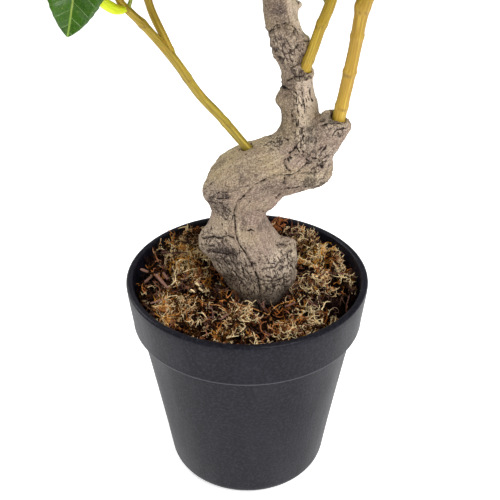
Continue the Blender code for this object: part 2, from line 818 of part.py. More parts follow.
def main():
    build_pot()
    build_ballast()
    build_moss()
    stem_lines = {
        name: [smooth_line(points, STEM_STEP) for points in (main_line, *twigs)]
        for name, (main_line, twigs) in STEMS.items()
    }
    trunk = build_trunk({name: lines[0] for name, lines in stem_lines.items()})
    solid = [trunk] + [build_stem(name, lines) for name, lines in stem_lines.items()]
    for number, (stem, line, share) in enumerate(LEMONS, 1):
        hold = point_along(stem_lines[stem][line], share)
        solid.append(build_lemon(f"lemon_{number}", *hold))
    bpy.context.view_layer.update()
    taken = {item.name: world_tree(settled_mesh(item), item.matrix_world) for item in solid}
    build_leaves(stem_lines, taken)


main()
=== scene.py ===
"""Finishes the potted lemon tree: pot, moss, moulded trunk, stems, leaves, lemons and the studio.

The tree is of the moulded, plug-together sort. Every visible piece is modelled here in full
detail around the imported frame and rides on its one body. Lengths in the tables are in
millimetres; +Z is up and the front of the tree looks along -Y.
"""

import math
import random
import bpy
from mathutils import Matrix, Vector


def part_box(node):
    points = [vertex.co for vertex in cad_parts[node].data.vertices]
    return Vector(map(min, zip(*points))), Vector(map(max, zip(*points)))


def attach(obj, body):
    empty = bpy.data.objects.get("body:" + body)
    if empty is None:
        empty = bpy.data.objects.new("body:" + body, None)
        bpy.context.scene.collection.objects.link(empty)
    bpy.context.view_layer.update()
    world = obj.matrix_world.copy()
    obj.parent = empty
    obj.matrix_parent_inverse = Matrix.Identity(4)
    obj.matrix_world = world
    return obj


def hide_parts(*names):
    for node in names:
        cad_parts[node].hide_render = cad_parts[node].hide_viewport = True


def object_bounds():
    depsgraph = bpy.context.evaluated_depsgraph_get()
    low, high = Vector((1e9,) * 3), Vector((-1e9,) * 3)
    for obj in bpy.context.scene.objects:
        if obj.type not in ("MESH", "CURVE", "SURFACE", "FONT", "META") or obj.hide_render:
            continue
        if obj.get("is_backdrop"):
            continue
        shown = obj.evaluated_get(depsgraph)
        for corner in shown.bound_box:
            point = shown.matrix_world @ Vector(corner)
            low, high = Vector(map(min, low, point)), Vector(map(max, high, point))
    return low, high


bl_info = {
    "name": "Potted lemon tree",
    "version": (1, 0, 0),
    "blender": (4, 5, 0),
    "location": "3D View > Sidebar > Lemon tree",
    "description": "Builds the finished pieces of a potted lemon tree and its studio",
    "category": "Object",
}

from contextlib import contextmanager

import bmesh
import bpy
import numpy as np
from mathutils import Matrix, Vector, noise
from mathutils.bvhtree import BVHTree

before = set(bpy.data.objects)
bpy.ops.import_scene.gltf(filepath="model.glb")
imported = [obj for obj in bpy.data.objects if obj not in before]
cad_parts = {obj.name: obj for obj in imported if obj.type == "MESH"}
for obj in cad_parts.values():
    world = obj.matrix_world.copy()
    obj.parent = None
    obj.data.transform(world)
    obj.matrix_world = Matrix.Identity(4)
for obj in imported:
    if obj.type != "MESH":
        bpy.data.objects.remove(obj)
CAD_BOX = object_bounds()

MM = 0.001
BODY = "root"
# sockets of a Mix node that mixes colours, which share their names with its other kinds
MIX_FACTOR, MIX_FIRST, MIX_SECOND, MIX_COLOUR = 0, 6, 7, 2


def linear(red, green, blue):
    """A colour of 0 to 255 display values as the linear values that Blender's colours hold."""

    def channel(value):
        share = value / 255
        return share / 12.92 if share <= 0.04045 else ((share + 0.055) / 1.055) ** 2.4

    return channel(red), channel(green), channel(blue)


def colour_choice(name, description, red, green, blue):
    """A colour for the user to change; its default is given as display values."""
    return bpy.props.FloatVectorProperty(
        name=name, description=description, default=linear(red, green, blue), subtype="COLOR"
    )


# ---------------------------------------------------------------- selection and edit mode
def deselect():
    for item in bpy.context.selected_objects:
        item.select_set(False)


def pick(item):
    """Make one object the only selected one, and the active one."""
    deselect()
    item.select_set(True)
    bpy.context.view_layer.objects.active = item


@contextmanager
def edit_mode():
    bpy.ops.object.mode_set(mode="EDIT")
    yield
    bpy.ops.object.mode_set(mode="OBJECT")


def extrude(rise, share):
    """Extrude the selected ring in edit mode, lift it, then widen it about the upright axis."""
    bpy.ops.mesh.extrude_region_move(TRANSFORM_OT_translate={"value": (0, 0, rise)})
    bpy.ops.transform.resize(value=(share, share, 1), center_override=(0, 0, 0))


def close_outside():
    """Turn all faces of the mesh in edit mode outwards."""
    bpy.ops.mesh.select_all(action="SELECT")
    bpy.ops.mesh.normals_make_consistent(inside=False)


def add_modifier(item, kind, **settings):
    """Add a modifier, set it and apply it."""
    pick(item)
    made = item.modifiers.new(kind.title(), kind)
    for key, value in settings.items():
        setattr(made, key, value)
    bpy.ops.object.modifier_apply(modifier=made.name)


def smooth(item, degrees=40):
    pick(item)
    bpy.ops.object.shade_smooth_by_angle(angle=math.radians(degrees))


def finish_piece(item, name, material, stands_for=()):
    """Name a piece, give it its material and tie it to the frame."""
    item.name = name
    item.data.name = name
    item.data.materials.clear()
    item.data.materials.append(material)
    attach(item, BODY)
    if stands_for:
        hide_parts(*stands_for)
    return item


def new_object(name, data):
    item = bpy.data.objects.new(name, data)
    bpy.context.scene.collection.objects.link(item)
    return item


def weld(mesh, distance):
    """Merge the vertices that lie closer together than a distance in millimetres."""
    work = bmesh.new()
    work.from_mesh(mesh)
    bmesh.ops.remove_doubles(work, verts=work.verts, dist=distance * MM)
    work.to_mesh(mesh)
    work.free()


def merged_copy(node):
    """A new object with a CAD node's mesh, its loose triangles welded together."""
    item = new_object(node + "_copy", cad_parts[node].data.copy())
    weld(item.data, 0.005)
    return item


def join_items(items):
    deselect()
    for item in items:
        item.select_set(True)
    bpy.context.view_layer.objects.active = items[0]
    bpy.ops.object.join()
    return items[0]


def vectors(items, key):
    """The vectors of a mesh's vertices or normals, as rows of an array."""
    flat = np.empty(len(items) * 3, np.float32)
    items.foreach_get(key, flat)
    return flat.reshape(-1, 3).astype(float)


def vertex_places(mesh):
    """The vertices as an array of millimetres."""
    return vectors(mesh.vertices, "co") / MM


def move_vertices(mesh, places):
    mesh.vertices.foreach_set("co", (places * MM).astype(np.float32).ravel())
    mesh.update()


def point_attributes(mesh, **looks):
    """Store a number or a vector for each vertex, under each name."""
    for name, values in looks.items():
        values = np.asarray(values, np.float32)
        kind, key = ("FLOAT", "value") if values.ndim == 1 else ("FLOAT_VECTOR", "vector")
        mesh.attributes.new(name, kind, "POINT").data.foreach_set(key, values.ravel())


def bell(away, reach=1.0):
    """A smooth hump: 1 in the middle, and fading beyond the reach."""
    return np.exp(-((away / reach) ** 2))


def ease(values, start, width):
    """0 up to the start, then evenly up to 1 over the width, and held there."""
    return np.clip((values - start) / width, 0, 1)


def unevenness(places, scale):
    """Smooth noise of about -1 to 1 at each place."""
    return np.array([noise.noise(Vector(place) * scale) for place in places])


# ---------------------------------------------------------------- lines
def smooth_line(points, step):
    """Points about a step apart on a Catmull-Rom curve through (x, y, z, r) points."""
    places = [Vector(point) for point in points]
    padded = [2 * places[0] - places[1], *places, 2 * places[-1] - places[-2]]
    line = [places[0]]
    for a, b, c, d in zip(padded, padded[1:], padded[2:], padded[3:]):
        pieces = max(1, round((c - b).length / step))
        for k in range(1, pieces + 1):
            t = k / pieces
            straight = 2 * b + (c - a) * t
            bent = (2 * a - 5 * b + 4 * c - d) * t**2 + (3 * b - a - 3 * c + d) * t**3
            line.append(0.5 * (straight + bent))
    return line


def point_along(line, share):
    """Place, direction and radius at a share of a line's length."""
    lengths = [(b.xyz - a.xyz).length for a, b in zip(line, line[1:])]
    left = share * sum(lengths)
    for a, b, length in zip(line, line[1:], lengths):
        if left <= length or b is line[-1]:
            here = a.lerp(b, min(1.0, left / length))
            return here.xyz, (b.xyz - a.xyz).normalized(), here.w
        left -= length


def frames_along(line):
    """A direction and a side for each point of a line; the side turns as little as it can."""
    places = [p.xyz for p in line]
    ahead = [(b - a).normalized() for a, b in zip(places, places[1:])]
    ahead = [ahead[0]] + [(a + b).normalized() for a, b in zip(ahead, ahead[1:])] + [ahead[-1]]
    side = Vector((0, -1, 0)) if abs(ahead[0].y) < 0.9 else Vector((0, 0, 1))
    made = []
    for direction in ahead:
        side = (side - side.dot(direction) * direction).normalized()
        made.append((direction, side))
    return made


def grain_of(places, line, smear):
    """Where each place lies along and round a line, as a vector for streaks that follow it.

    The first two parts are the place's offset from the line, in millimetres, in a frame that
    travels along it; the third is the length along the line, shortened smear times.
    """
    spine = np.array([p.xyz for p in line])
    frames = frames_along(line)
    ahead, side = (np.array(values) for values in zip(*frames))
    across = np.cross(ahead, side)
    steps = np.linalg.norm(np.diff(spine, axis=0), axis=1)
    length = np.concatenate([[0.0], np.cumsum(steps)])
    grain = np.empty((len(places), 3))
    for start in range(0, len(places), 4000):
        part = places[start : start + 4000]
        away = part[:, None, :] - spine[None, :, :]
        near = np.argmin((away**2).sum(2), axis=1)
        offset = away[np.arange(len(part)), near]
        beyond = (offset * ahead[near]).sum(1)
        grain[start : start + 4000, 0] = (offset * side[near]).sum(1)
        grain[start : start + 4000, 1] = (offset * across[near]).sum(1)
        grain[start : start + 4000, 2] = (length[near] + beyond) / smear
    return grain


# ---------------------------------------------------------------- materials
def feed(tree, socket, value):
    """Give an input a number, a vector, a colour or another node's output."""
    if isinstance(value, bpy.types.NodeSocket):
        tree.links.new(value, socket)
    elif socket.type == "RGBA":
        socket.default_value = (*value, 1)
    else:
        socket.default_value = value


def add_node(tree, kind, inputs=None, **settings):
    """A node with its settings and what its inputs are fed."""
    made = tree.nodes.new(kind)
    for key, value in settings.items():
        setattr(made, key, value)
    for key, value in (inputs or {}).items():
        feed(tree, made.inputs[key], value)
    return made


def new_material(name, roughness, specular=0.5):
    made = bpy.data.materials.new(name)
    made.use_nodes = True
    shader = made.node_tree.nodes["Principled BSDF"]
    shader.inputs["Roughness"].default_value = roughness
    shader.inputs["Specular IOR Level"].default_value = specular
    return made, made.node_tree, shader


def finish_shader(tree, shader, colour, relief, roughness=None):
    """Give a material its colour, its bumps and, where it varies, its roughness."""
    feed(tree, shader.inputs["Base Color"], colour)
    feed(tree, shader.inputs["Normal"], bump(tree, *relief))
    if roughness:
        feed(tree, shader.inputs["Roughness"], roughness)


def object_place(tree):
    return add_node(tree, "ShaderNodeTexCoord").outputs["Object"]


def attribute(tree, name, output="Fac"):
    return add_node(tree, "ShaderNodeAttribute", attribute_name=name).outputs[output]


def parts(tree, vector):
    """A vector's three parts, as outputs named X, Y and Z."""
    return add_node(tree, "ShaderNodeSeparateXYZ", {"Vector": vector}).outputs


def stretched(tree, vector, scale):
    return add_node(tree, "ShaderNodeMapping", {"Vector": vector, "Scale": scale}).outputs["Vector"]


def cloud(tree, vector, scale, detail=3.0, rough=0.55, distortion=0.0):
    """Soft noise of 0 to 1."""
    inputs = {"Vector": vector, "Scale": scale, "Detail": detail, "Roughness": rough}
    inputs["Distortion"] = distortion
    return add_node(tree, "ShaderNodeTexNoise", inputs).outputs["Fac"]


def cells(tree, vector, scale, feature="F1"):
    """How far each place is from the middle or the edge of its cell."""
    inputs = {"Vector": vector, "Scale": scale}
    return add_node(tree, "ShaderNodeTexVoronoi", inputs, feature=feature).outputs["Distance"]


def ramp(tree, factor, *stops):
    """A colour for each factor; the stops are (factor, (red, green, blue))."""
    made = add_node(tree, "ShaderNodeValToRGB", {"Fac": factor})
    elements = made.color_ramp.elements
    while len(elements) < len(stops):
        elements.new(0.5)
    for element, (place, colour) in zip(elements, stops):
        element.position = place
        element.color = (*colour, 1)
    return made.outputs["Color"]


def span(tree, value, low, high, to_low=0.0, to_high=1.0):
    """The value's place between low and high, held there."""
    inputs = {"Value": value, "From Min": low, "From Max": high, "To Min": to_low, "To Max": to_high}
    return add_node(tree, "ShaderNodeMapRange", inputs, clamp=True).outputs["Result"]


def maths(tree, operation, first, second=0.0):
    return add_node(tree, "ShaderNodeMath", {0: first, 1: second}, operation=operation).outputs["Value"]


def times(tree, first, second):
    return maths(tree, "MULTIPLY", first, second)


def plus(tree, first, second):
    return maths(tree, "ADD", first, second)


def mix(tree, factor, first, second, blend="MIX"):
    """Two colours mixed; each is a node's output or (red, green, blue)."""
    inputs = {MIX_FACTOR: factor, MIX_FIRST: first, MIX_SECOND: second}
    return add_node(tree, "ShaderNodeMix", inputs, data_type="RGBA", blend_type=blend).outputs[MIX_COLOUR]


def coats(tree, tint, *layers):
    """A tint under further coats: what each goes by, its span, and its colour as display values."""
    for factor, limits, *colour in layers:
        tint = mix(tree, span(tree, factor, *limits), tint, linear(*colour))
    return tint


def bump(tree, height, distance, strength=1.0):
    """A normal for a height in units of the distance, which is in millimetres."""
    inputs = {"Height": height, "Distance": distance * MM, "Strength": strength}
    return add_node(tree, "ShaderNodeBump", inputs).outputs["Normal"]


# ---------------------------------------------------------------- pot
POT_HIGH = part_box("pot")[1]
BAND_FOOT = 104.3  # height of the band's lower edge
POT_ROUND = 128  # faces round the pot
SUNK_MIDDLE = (34.0 * MM, 0.9 * MM)  # radius and height of the underside's sunk middle
DRAIN_HOLES = 6
DRAIN_CIRCLE = 30.0
DRAIN_RADIUS = 4.0
DRILL_LENGTH = 20.0


class PotSettings(bpy.types.PropertyGroup):
    rim_radius: bpy.props.FloatProperty(
        name="Rim radius", description="Outer radius of the lip", default=POT_HIGH.x, unit="LENGTH"
    )
    height: bpy.props.FloatProperty(
        name="Height", description="From the floor to the lip", default=POT_HIGH.z, unit="LENGTH"
    )
    lip_width: bpy.props.FloatProperty(
        name="Lip width", description="Width of the flat lip", default=0.0040, unit="LENGTH"
    )
    colour: colour_choice("Plastic", "Colour of the pot's plastic", 12, 12, 22)
    roughness: bpy.props.FloatProperty(
        name="Roughness", description="Of the moulded outside", default=0.46, subtype="FACTOR"
    )


def rounded(centre, radius, start, end, count):
    """(radius, height) points of an arc, angles in degrees from outwards towards up."""
    angles = [math.radians(start + (end - start) * k / (count - 1)) for k in range(count)]
    return [(centre[0] + radius * math.cos(a), centre[1] + radius * math.sin(a)) for a in angles]


def pot_outline(settings):
    """(radius, height) points up the outside, over the lip and down to the inner floor."""
    rim, height = settings.rim_radius / MM, settings.height / MM
    lip = settings.lip_width / MM
    outline = [(35.5, 0.0)]  # the standing ring round the sunk middle of the underside
    outline += rounded((40.9, 8.0), 8.0, -90, -8, 7)
    outline += [(52.0, 29.5), (56.0, 55.5), (60.0, 81.0), (63.7, BAND_FOOT - 1.0)]
    outline += [(63.9, BAND_FOOT - 0.3), (64.4, BAND_FOOT)]
    outline += rounded((66.7, BAND_FOOT + 0.8), 0.8, -90, 10, 5)
    outline += [(rim - 2.3, BAND_FOOT + 4), (rim - 1.2, BAND_FOOT + 14), (rim - 0.25, height - 5)]
    outline += rounded((rim - 1.5, height - 1.5), 1.5, 4, 90, 6)
    outline += [(rim - lip + 1.2, height)]
    outline += rounded((rim - lip + 1.2, height - 1.2), 1.2, 90, 176, 5)[1:]
    outline += [(rim - lip - 0.2, height - 3), (65.7, BAND_FOOT + 2), (62.3, BAND_FOOT - 2.5)]
    outline += [(58.3, 76), (54.2, 50), (50.2, 24), (48.0, 9), (46.6, 4.6), (42.5, 2.4)]
    return outline


def pot_plastic(settings):
    material, tree, shader = new_material("Pot_plastic", settings.roughness, 0.15)
    place = object_place(tree)
    height = parts(tree, place)["Z"]
    handling = cloud(tree, stretched(tree, place, (1, 1, 0.25)), 55, 4)
    # painted highlight: a light line along the band's lower edge, where the rounded step catches the light
    edge = maths(tree, "ABSOLUTE", maths(tree, "SUBTRACT", height, (BAND_FOOT + 0.5) * MM))
    painted_highlight = times(tree, span(tree, edge, 0.0002, 0.0009, 1.0, 0.0), 0.55)
    base = mix(tree, span(tree, handling, 0.42, 0.75), settings.colour, linear(21, 20, 31))
    base = coats(tree, base, (cloud(tree, place, 650, 3), (0.45, 0.65, 0.0, 0.8), 37, 36, 46))
    base = mix(tree, painted_highlight, base, linear(92, 91, 98))
    lip = span(tree, height, settings.height - 0.0035, settings.height - 0.0008)
    worn = span(tree, handling, 0.3, 0.7, settings.roughness + 0.05, settings.roughness - 0.06)
    gloss = maths(tree, "SUBTRACT", worn, times(tree, lip, 0.12))
    drag = cloud(tree, stretched(tree, place, (1, 1, 0.08)), 700, 2)
    relief = plus(tree, cloud(tree, place, 800, 3, 0.7), times(tree, drag, 0.35))
    finish_shader(tree, shader, base, (relief, 0.2, 0.7), gloss)
    return material


class LEMONTREE_OT_pot(bpy.types.Operator):
    """Model the nursery pot with its band, rolled lip, standing ring and drain holes"""

    bl_idname = "lemon_tree.pot"
    bl_label = "Pot"

    def execute(self, context):
        settings = context.scene.tree_pot
        radius, height = SUNK_MIDDLE
        deselect()
        bpy.ops.mesh.primitive_circle_add(
            vertices=POT_ROUND, radius=radius, fill_type="NGON", location=(0, 0, height)
        )
        pot = context.object
        bpy.ops.object.transform_apply(location=True)
        with edit_mode():
            for next_radius, next_height in pot_outline(settings):
                extrude(next_height * MM - height, next_radius * MM / radius)
                radius, height = next_radius * MM, next_height * MM
            close_outside()
        for k in range(DRAIN_HOLES):
            angle = math.tau * k / DRAIN_HOLES
            x, y = DRAIN_CIRCLE * math.cos(angle), DRAIN_CIRCLE * math.sin(angle)
            deselect()
            bpy.ops.mesh.primitive_cylinder_add(
                vertices=24, radius=DRAIN_RADIUS * MM, depth=DRILL_LENGTH * MM, location=(x * MM, y * MM, 0)
            )
            drill = context.object
            add_modifier(pot, "BOOLEAN", operation="DIFFERENCE", solver="EXACT", object=drill)
            bpy.data.objects.remove(drill)
        smooth(pot, 38)
        finish_piece(pot, "nursery_pot", pot_plastic(settings), ("pot",))
        return {"FINISHED"}


# ---------------------------------------------------------------- ballast
def cement():
    material, tree, shader = new_material("Ballast_cement", 0.95, 0.2)
    place = object_place(tree)
    patches = cloud(tree, place, 60, 6)
    grit = cells(tree, place, 900)
    tint = ramp(tree, patches, (0.3, linear(142, 138, 130)), (0.7, linear(182, 178, 169)))
    tint = coats(tree, tint, (grit, (0.0, 0.35, 0.45, 0.0), 96, 92, 86))
    finish_shader(tree, shader, tint, (plus(tree, patches, times(tree, grit, 0.5)), 0.6))
    return material


class LEMONTREE_OT_ballast(bpy.types.Operator):
    """Give the cast ballast its cement finish"""

    bl_idname = "lemon_tree.ballast"
    bl_label = "Ballast"

    def execute(self, context):
        finish = cement()
        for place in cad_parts["ballast"].material_slots:
            place.material = finish
        return {"FINISHED"}


# ---------------------------------------------------------------- moss
MOSS_REACH = 64.6  # from the pot's axis to the furthest strand
FOOT_MIDDLE = (5.5, 0.0)  # of the trunk where it enters the moss
FOOT_RADIUS = 15.0
SPRIG_KINDS = 24  # from nearly straight to curly
STRAIGHT_KINDS = 8
TENDRIL_KINDS = 6
STRAND_TAPER = 0.62
FROND_STEP = 2.4
UNDER_SHARE = 0.25  # of the fronds, that lie low and dark under the others as painted shade in the gaps
SHADED_SHARE = 0.5  # of a frond's sprigs, that are darkened and set lower as painted shade between the strands
SPRIG_PIECES = 3  # that the heap's sprigs are shared out to
PLAIN_MOSS = (0.45, 0.3, -0.3, 0.75)  # tone, hue, lift and cover away from the clumps
# clumps of a look of their own: x, y, radius, tone, hue (0 rusty, 1 olive gold), lift, cover; the tone also
# carries painted light: the dark clumps just in front of the trunk's foot are painted shade, and the clumps
# on the left are lightened against the trunk's shadow
MOSS_CLUMPS = (
    (-49, 34, 12, 1.02, 0.55, 2.5, 1.0),
    (-28, 27, 11, 0.92, 0.85, 2.0, 1.0),
    (-47, 19, 5, 0.45, 0.2, -1.0, 1.0),
    (-36, 12, 8, 0.95, 0.8, 2.0, 1.0),
    (-38, 0, 6, 0.40, 0.1, -1.0, 0.95),
    (-36, -13, 5, 0.08, 0.1, -2.0, 0.7),
    (-25, -8, 8, 0.75, 0.4, 1.0, 1.0),
    (-43, -24, 8, 0.95, 0.7, 2.5, 1.0),
    (-38, -37, 10, 0.86, 0.6, 2.0, 1.0),
    (-56, 16, 6, 0.20, 0.1, -1.0, 0.9),
    (-56, -16, 8, 0.66, 0.3, 0.5, 1.0),
    (-19, -26, 7, 0.35, 0.1, -1.0, 0.9),
    (-4, -33, 9, 0.92, 0.4, 2.5, 1.0),
    (-16, -49, 11, 0.84, 0.45, 1.0, 1.0),
    (9, -31, 5, 0.20, 0.1, -1.5, 0.7),
    (16, -15, 8, 0.36, 0.1, -1.0, 0.8),
    (35, -10, 9, 0.58, 0.0, 1.5, 1.0),
    (30, -40, 13, 0.86, 0.5, 2.0, 1.0),
    (8, -50, 11, 0.74, 0.4, 0.5, 1.0),
    (35, 20, 7, 0.42, 0.1, -0.5, 0.95),
    (36, -28, 10, 0.88, 0.3, 2.0, 1.0),
    (46, 32, 7, 0.72, 0.9, 2.5, 1.0),
    (44, 44, 7, 0.60, 0.8, 2.0, 1.0),
    (33, 6, 7, 0.34, 0.1, 0.0, 1.0),
    (58, 22, 8, 0.70, 0.3, 2.0, 1.0),
    (54, -14, 10, 0.06, 0.0, -4.0, 0.12),
    (50, 2, 6, 0.24, 0.0, -1.5, 0.6),
    (30, 50, 14, 0.58, 0.15, 2.0, 1.0),
    (-36, 47, 12, 0.68, 0.3, 1.5, 1.0),
    (-10, 56, 12, 0.45, 0.1, 0.5, 1.0),
    (-62, 2, 4, 0.10, 0.0, -2.0, 0.4),
    (-13, -13, 6, 0.35, 0.2, 4.5, 1.0),
    (24, -12, 6, 0.40, 0.1, 4.5, 1.0),
    (6, -21, 4, 0.15, 0.1, -2.0, 0.6),
)
# bundles of strands that lie one way: from x, y to x, y, tone, hue, lift
BUNDLES = (
    ((43, 11), (31, -16), 0.84, 0.25, 3.5),
    ((41, 8), (29, -14), 0.75, 0.1, 3.0),
    ((45, 8), (47, 44), 0.86, 1.0, 3.0),
    ((21, 54), (43, 38), 0.70, 0.2, 3.0),
    ((24, 56), (45, 42), 0.64, 0.25, 3.0),
    ((28, 50), (44, 34), 0.56, 0.2, 3.0),
    ((53, 12), (61, -8), 1.0, 0.25, 4.0),
    ((44, 24), (47, 44), 0.80, 0.95, 3.6),
    ((52, 32), (62, 22), 0.92, 0.3, 3.0),
    ((50, 28), (60, 18), 0.84, 0.2, 2.2),
    ((-44, 1), (-27, -3), 0.62, 0.05, 2.5),
    ((-50, 18), (-32, 10), 0.95, 0.8, 2.0),
    ((-44, 4), (-26, 12), 0.85, 0.7, 2.2),
    ((-36, 24), (-24, 6), 0.95, 0.9, 2.4),
    ((-34, -4), (-22, 4), 0.80, 0.5, 1.8),
    ((-46, 28), (-32, 20), 1.00, 0.9, 2.5),
    ((-46, 44), (-30, 50), 0.76, 0.35, 2.5),
    ((22, 52), (40, 44), 0.70, 0.0, 3.0),
    ((30, 56), (46, 50), 0.62, 0.0, 2.5),
    ((-52, -28), (-34, -23), 1.0, 0.6, 3.0),
    ((-46, -36), (-28, -42), 0.92, 0.6, 2.5),
    ((-8, -40), (0, -26), 0.96, 0.4, 3.0),
    ((22, -44), (40, -36), 0.92, 0.5, 2.5),
    ((16, -36), (24, -48), 0.88, 0.4, 2.0),
)
TUFT = (20, 57, 7.0)  # where strands stand up at the back: x, y and their height
TUFT_STRANDS = 26
CHIP_LIFT = 4.8  # over the bed, so that chips lie on the strands
# pale chips and brown flakes of bark: x, y, direction in degrees, length, width, tone
CHIPS = (
    (-29, -7, -50, 4.4, 1.3, 1.2),
    (-31, -14, -55, 3.8, 1.1, 1.2),
    (-26.5, -11.5, -52, 3.6, 1.0, 1.1),
    (-49, -8, -47, 12.5, 1.9, 0.66),
    (-57, -6, 62, 8.0, 1.3, 0.52),
    (-47.5, -2.5, -60, 6.0, 1.7, 0.56),
    (-60, 2, -25, 5.0, 1.9, 0.82),
    (-44, 20, -5, 16.0, 0.8, 0.45),
    (52, 6, -25, 12.0, 0.8, 0.66),
    (58, -12, 70, 7.0, 0.6, 0.5),
    (44, 4, 48, 14.0, 0.7, 0.60),
    (-12, -37, 55, 8.0, 0.9, 0.75),
    (24, -25, 30, 7.0, 0.8, 0.7),
    (36, -22, -45, 9.0, 0.8, 0.8),
    (-50, -26, 20, 8.0, 1.2, 0.7),
)
# fine rootlets that lie round the foot: x, y and height over the moss, radius
ROOTLETS = (
    ((-13, -14, 1.5, 0.32), (-4, -18, 3.0, 0.40), (4, -24, 2.5, 0.36), (12, -30, 1.5, 0.30)),
    ((12, -30, 1.5, 0.30), (15, -24, 3.0, 0.38), (20, -20, 3.2, 0.34), (27, -16, 1.5, 0.28)),
    ((-22, -20, 1.0, 0.26), (-15, -24, 2.6, 0.34), (-9, -31, 1.6, 0.28)),
    ((2, -24, 2.0, 0.26), (1, -30, 2.4, 0.30), (-2, -36, 1.0, 0.24)),
    ((24, -8, 2.0, 0.26), (31, -13, 3.4, 0.34), (33, -22, 1.6, 0.26)),
    ((30, 2, 1.5, 0.28), (38, 6, 3.6, 0.34), (47, 3, 1.8, 0.26)),
    ((-24, 6, 1.5, 0.26), (-32, 2, 3.2, 0.32), (-42, 5, 1.5, 0.26)),
)


class MossSettings(bpy.types.PropertyGroup):
    sprigs: bpy.props.IntProperty(
        name="Sprigs", description="How many curly sprigs make the heap", default=4500
    )
    sprig_length: bpy.props.FloatProperty(
        name="Sprig length", description="Of the longest sprigs", default=0.0120, unit="LENGTH"
    )
    # painted shade: the colour of the darkened strands and of the bed between them
    dark: colour_choice("Shaded moss", "The oldest strands", 20, 7, 4)
    brown: colour_choice("Brown moss", "Purplish brown strands", 142, 104, 92)
    rust: colour_choice("Rusty moss", "Orange brown strands", 200, 120, 62)
    gold: colour_choice("Golden moss", "Olive golden strands", 238, 168, 64)
    straw: colour_choice("Straw", "The palest strands", 255, 228, 178)


def moss_fibre(settings):
    """The strands' look; their attribute holds the tone and the hue."""
    material, tree, shader = new_material("Moss_mat", 0.4, 0.05)
    look = parts(tree, attribute(tree, "look", "Vector"))
    speckle = cloud(tree, object_place(tree), 1300, 2)
    tone = plus(tree, look["X"], span(tree, speckle, 0.3, 0.7, -0.14, 0.14))
    hues = (0.05, settings.brown), (0.4, settings.rust), (0.8, settings.gold)
    middle = ramp(tree, look["Y"], *hues)
    # the lowest tones are painted shade: darkened and low strands and the bed between them
    shaded = mix(tree, 0.3, settings.dark, middle)
    tint = mix(tree, span(tree, tone, 0.1, 0.4), settings.dark, shaded)
    tint = mix(tree, span(tree, tone, 0.34, 0.7), tint, middle)
    tint = mix(tree, span(tree, tone, 0.86, 1.15), tint, settings.straw)
    finish_shader(tree, shader, tint, (speckle, 0.15, 0.6))
    return material


def strand(line, sides=3):
    """Vertices and triangles of a tapering closed strand along (x, y, z, r) points."""
    vertices, faces = [], []
    for point, (ahead, side) in zip(line, frames_along(line)):
        across = ahead.cross(side)
        for k in range(sides):
            turn = math.tau * k / sides
            vertices.append(point.xyz + point.w * (math.cos(turn) * side + math.sin(turn) * across))
    last = (len(line) - 1) * sides
    for ring in range(0, last, sides):
        for k in range(sides):
            a, b = ring + k, ring + (k + 1) % sides
            faces += [(a, b, b + sides), (a, b + sides, a + sides)]
    for k in range(1, sides - 1):
        faces += [(0, k + 1, k), (last, last + k, last + k + 1)]
    return vertices, faces


def any_way(rng):
    return Vector([rng.uniform(-1, 1) for _axis in range(3)])


def curly_line(rng, start, ahead, count, step, radius, curl):
    """Points of a strand that winds as it grows."""
    line = [Vector((*start, radius))]
    place, ahead = Vector(start), ahead.normalized()
    twist = any_way(rng)
    for k in range(1, count):
        twist = (twist + 0.5 * any_way(rng)).normalized()
        ahead = (ahead + curl * twist.cross(ahead)).normalized()
        place = place + step * ahead
        line.append(Vector((*place, radius * (1 - STRAND_TAPER * k / (count - 1)))))
    return line


def sprig_kind(rng, curl):
    """One sprig about 1 long: a curly strand with a few curly side shoots."""
    main = curly_line(rng, (0, 0, 0), Vector((1, 0, 0)), 8, 0.15, 0.051, curl)
    vertices, faces = strand(main)
    for k in (1, 3, 5):
        ahead = (main[k + 1] - main[k]).xyz.normalized()
        side = any_way(rng).normalized()
        shoot = curly_line(rng, main[k].xyz, 0.5 * ahead + side, 4, rng.uniform(0.12, 0.2), 0.042, 0.8)
        more, more_faces = strand(shoot)
        first = len(vertices)
        vertices += more
        faces += [tuple(first + corner for corner in face) for face in more_faces]
    return np.array(vertices), np.array(faces)


def tendril_kind(rng):
    """One long thin strand that winds low over the others."""
    vertices, faces = strand(curly_line(rng, (0, 0, 0), Vector((1, 0, 0)), 12, 0.13, 0.036, 0.6))
    return np.array(vertices) * (1, 1, 0.5), np.array(faces)


def copies_mesh(kinds, copies):
    """One mesh of copies of a few small shapes: which one, its matrix, its shift, its tone and hue."""
    places, faces, shades, first = [], [], [], 0
    for kind, matrix, shift, look in copies:
        vertices, triangles = kinds[kind]
        places.append(vertices @ matrix.T + shift)
        faces.append(triangles + first)
        shades.append(np.tile((*look, 0.0), (len(vertices), 1)))
        first += len(vertices)
    places, faces = np.concatenate(places), np.concatenate(faces)
    mesh = bpy.data.meshes.new("copies")
    mesh.vertices.add(len(places))
    mesh.loops.add(faces.size)
    mesh.polygons.add(len(faces))
    mesh.polygons.foreach_set("loop_start", np.arange(0, faces.size, 3, dtype=np.int32))
    mesh.loops.foreach_set("vertex_index", faces.astype(np.int32).ravel())
    move_vertices(mesh, places)
    mesh.update(calc_edges=True)
    mesh.validate()
    mesh.shade_smooth()
    point_attributes(mesh, look=np.concatenate(shades))
    return mesh


def moss_clump(x, y):
    """How the clumps look at a place: tone, hue, lift, cover."""
    weight = 0.25
    total = np.array(PLAIN_MOSS) * weight
    for cx, cy, radius, *look in MOSS_CLUMPS:
        near = math.exp(-((x - cx) ** 2 + (y - cy) ** 2) / (0.7 * radius) ** 2)
        weight, total = weight + near, total + near * np.array(look)
    return total / weight


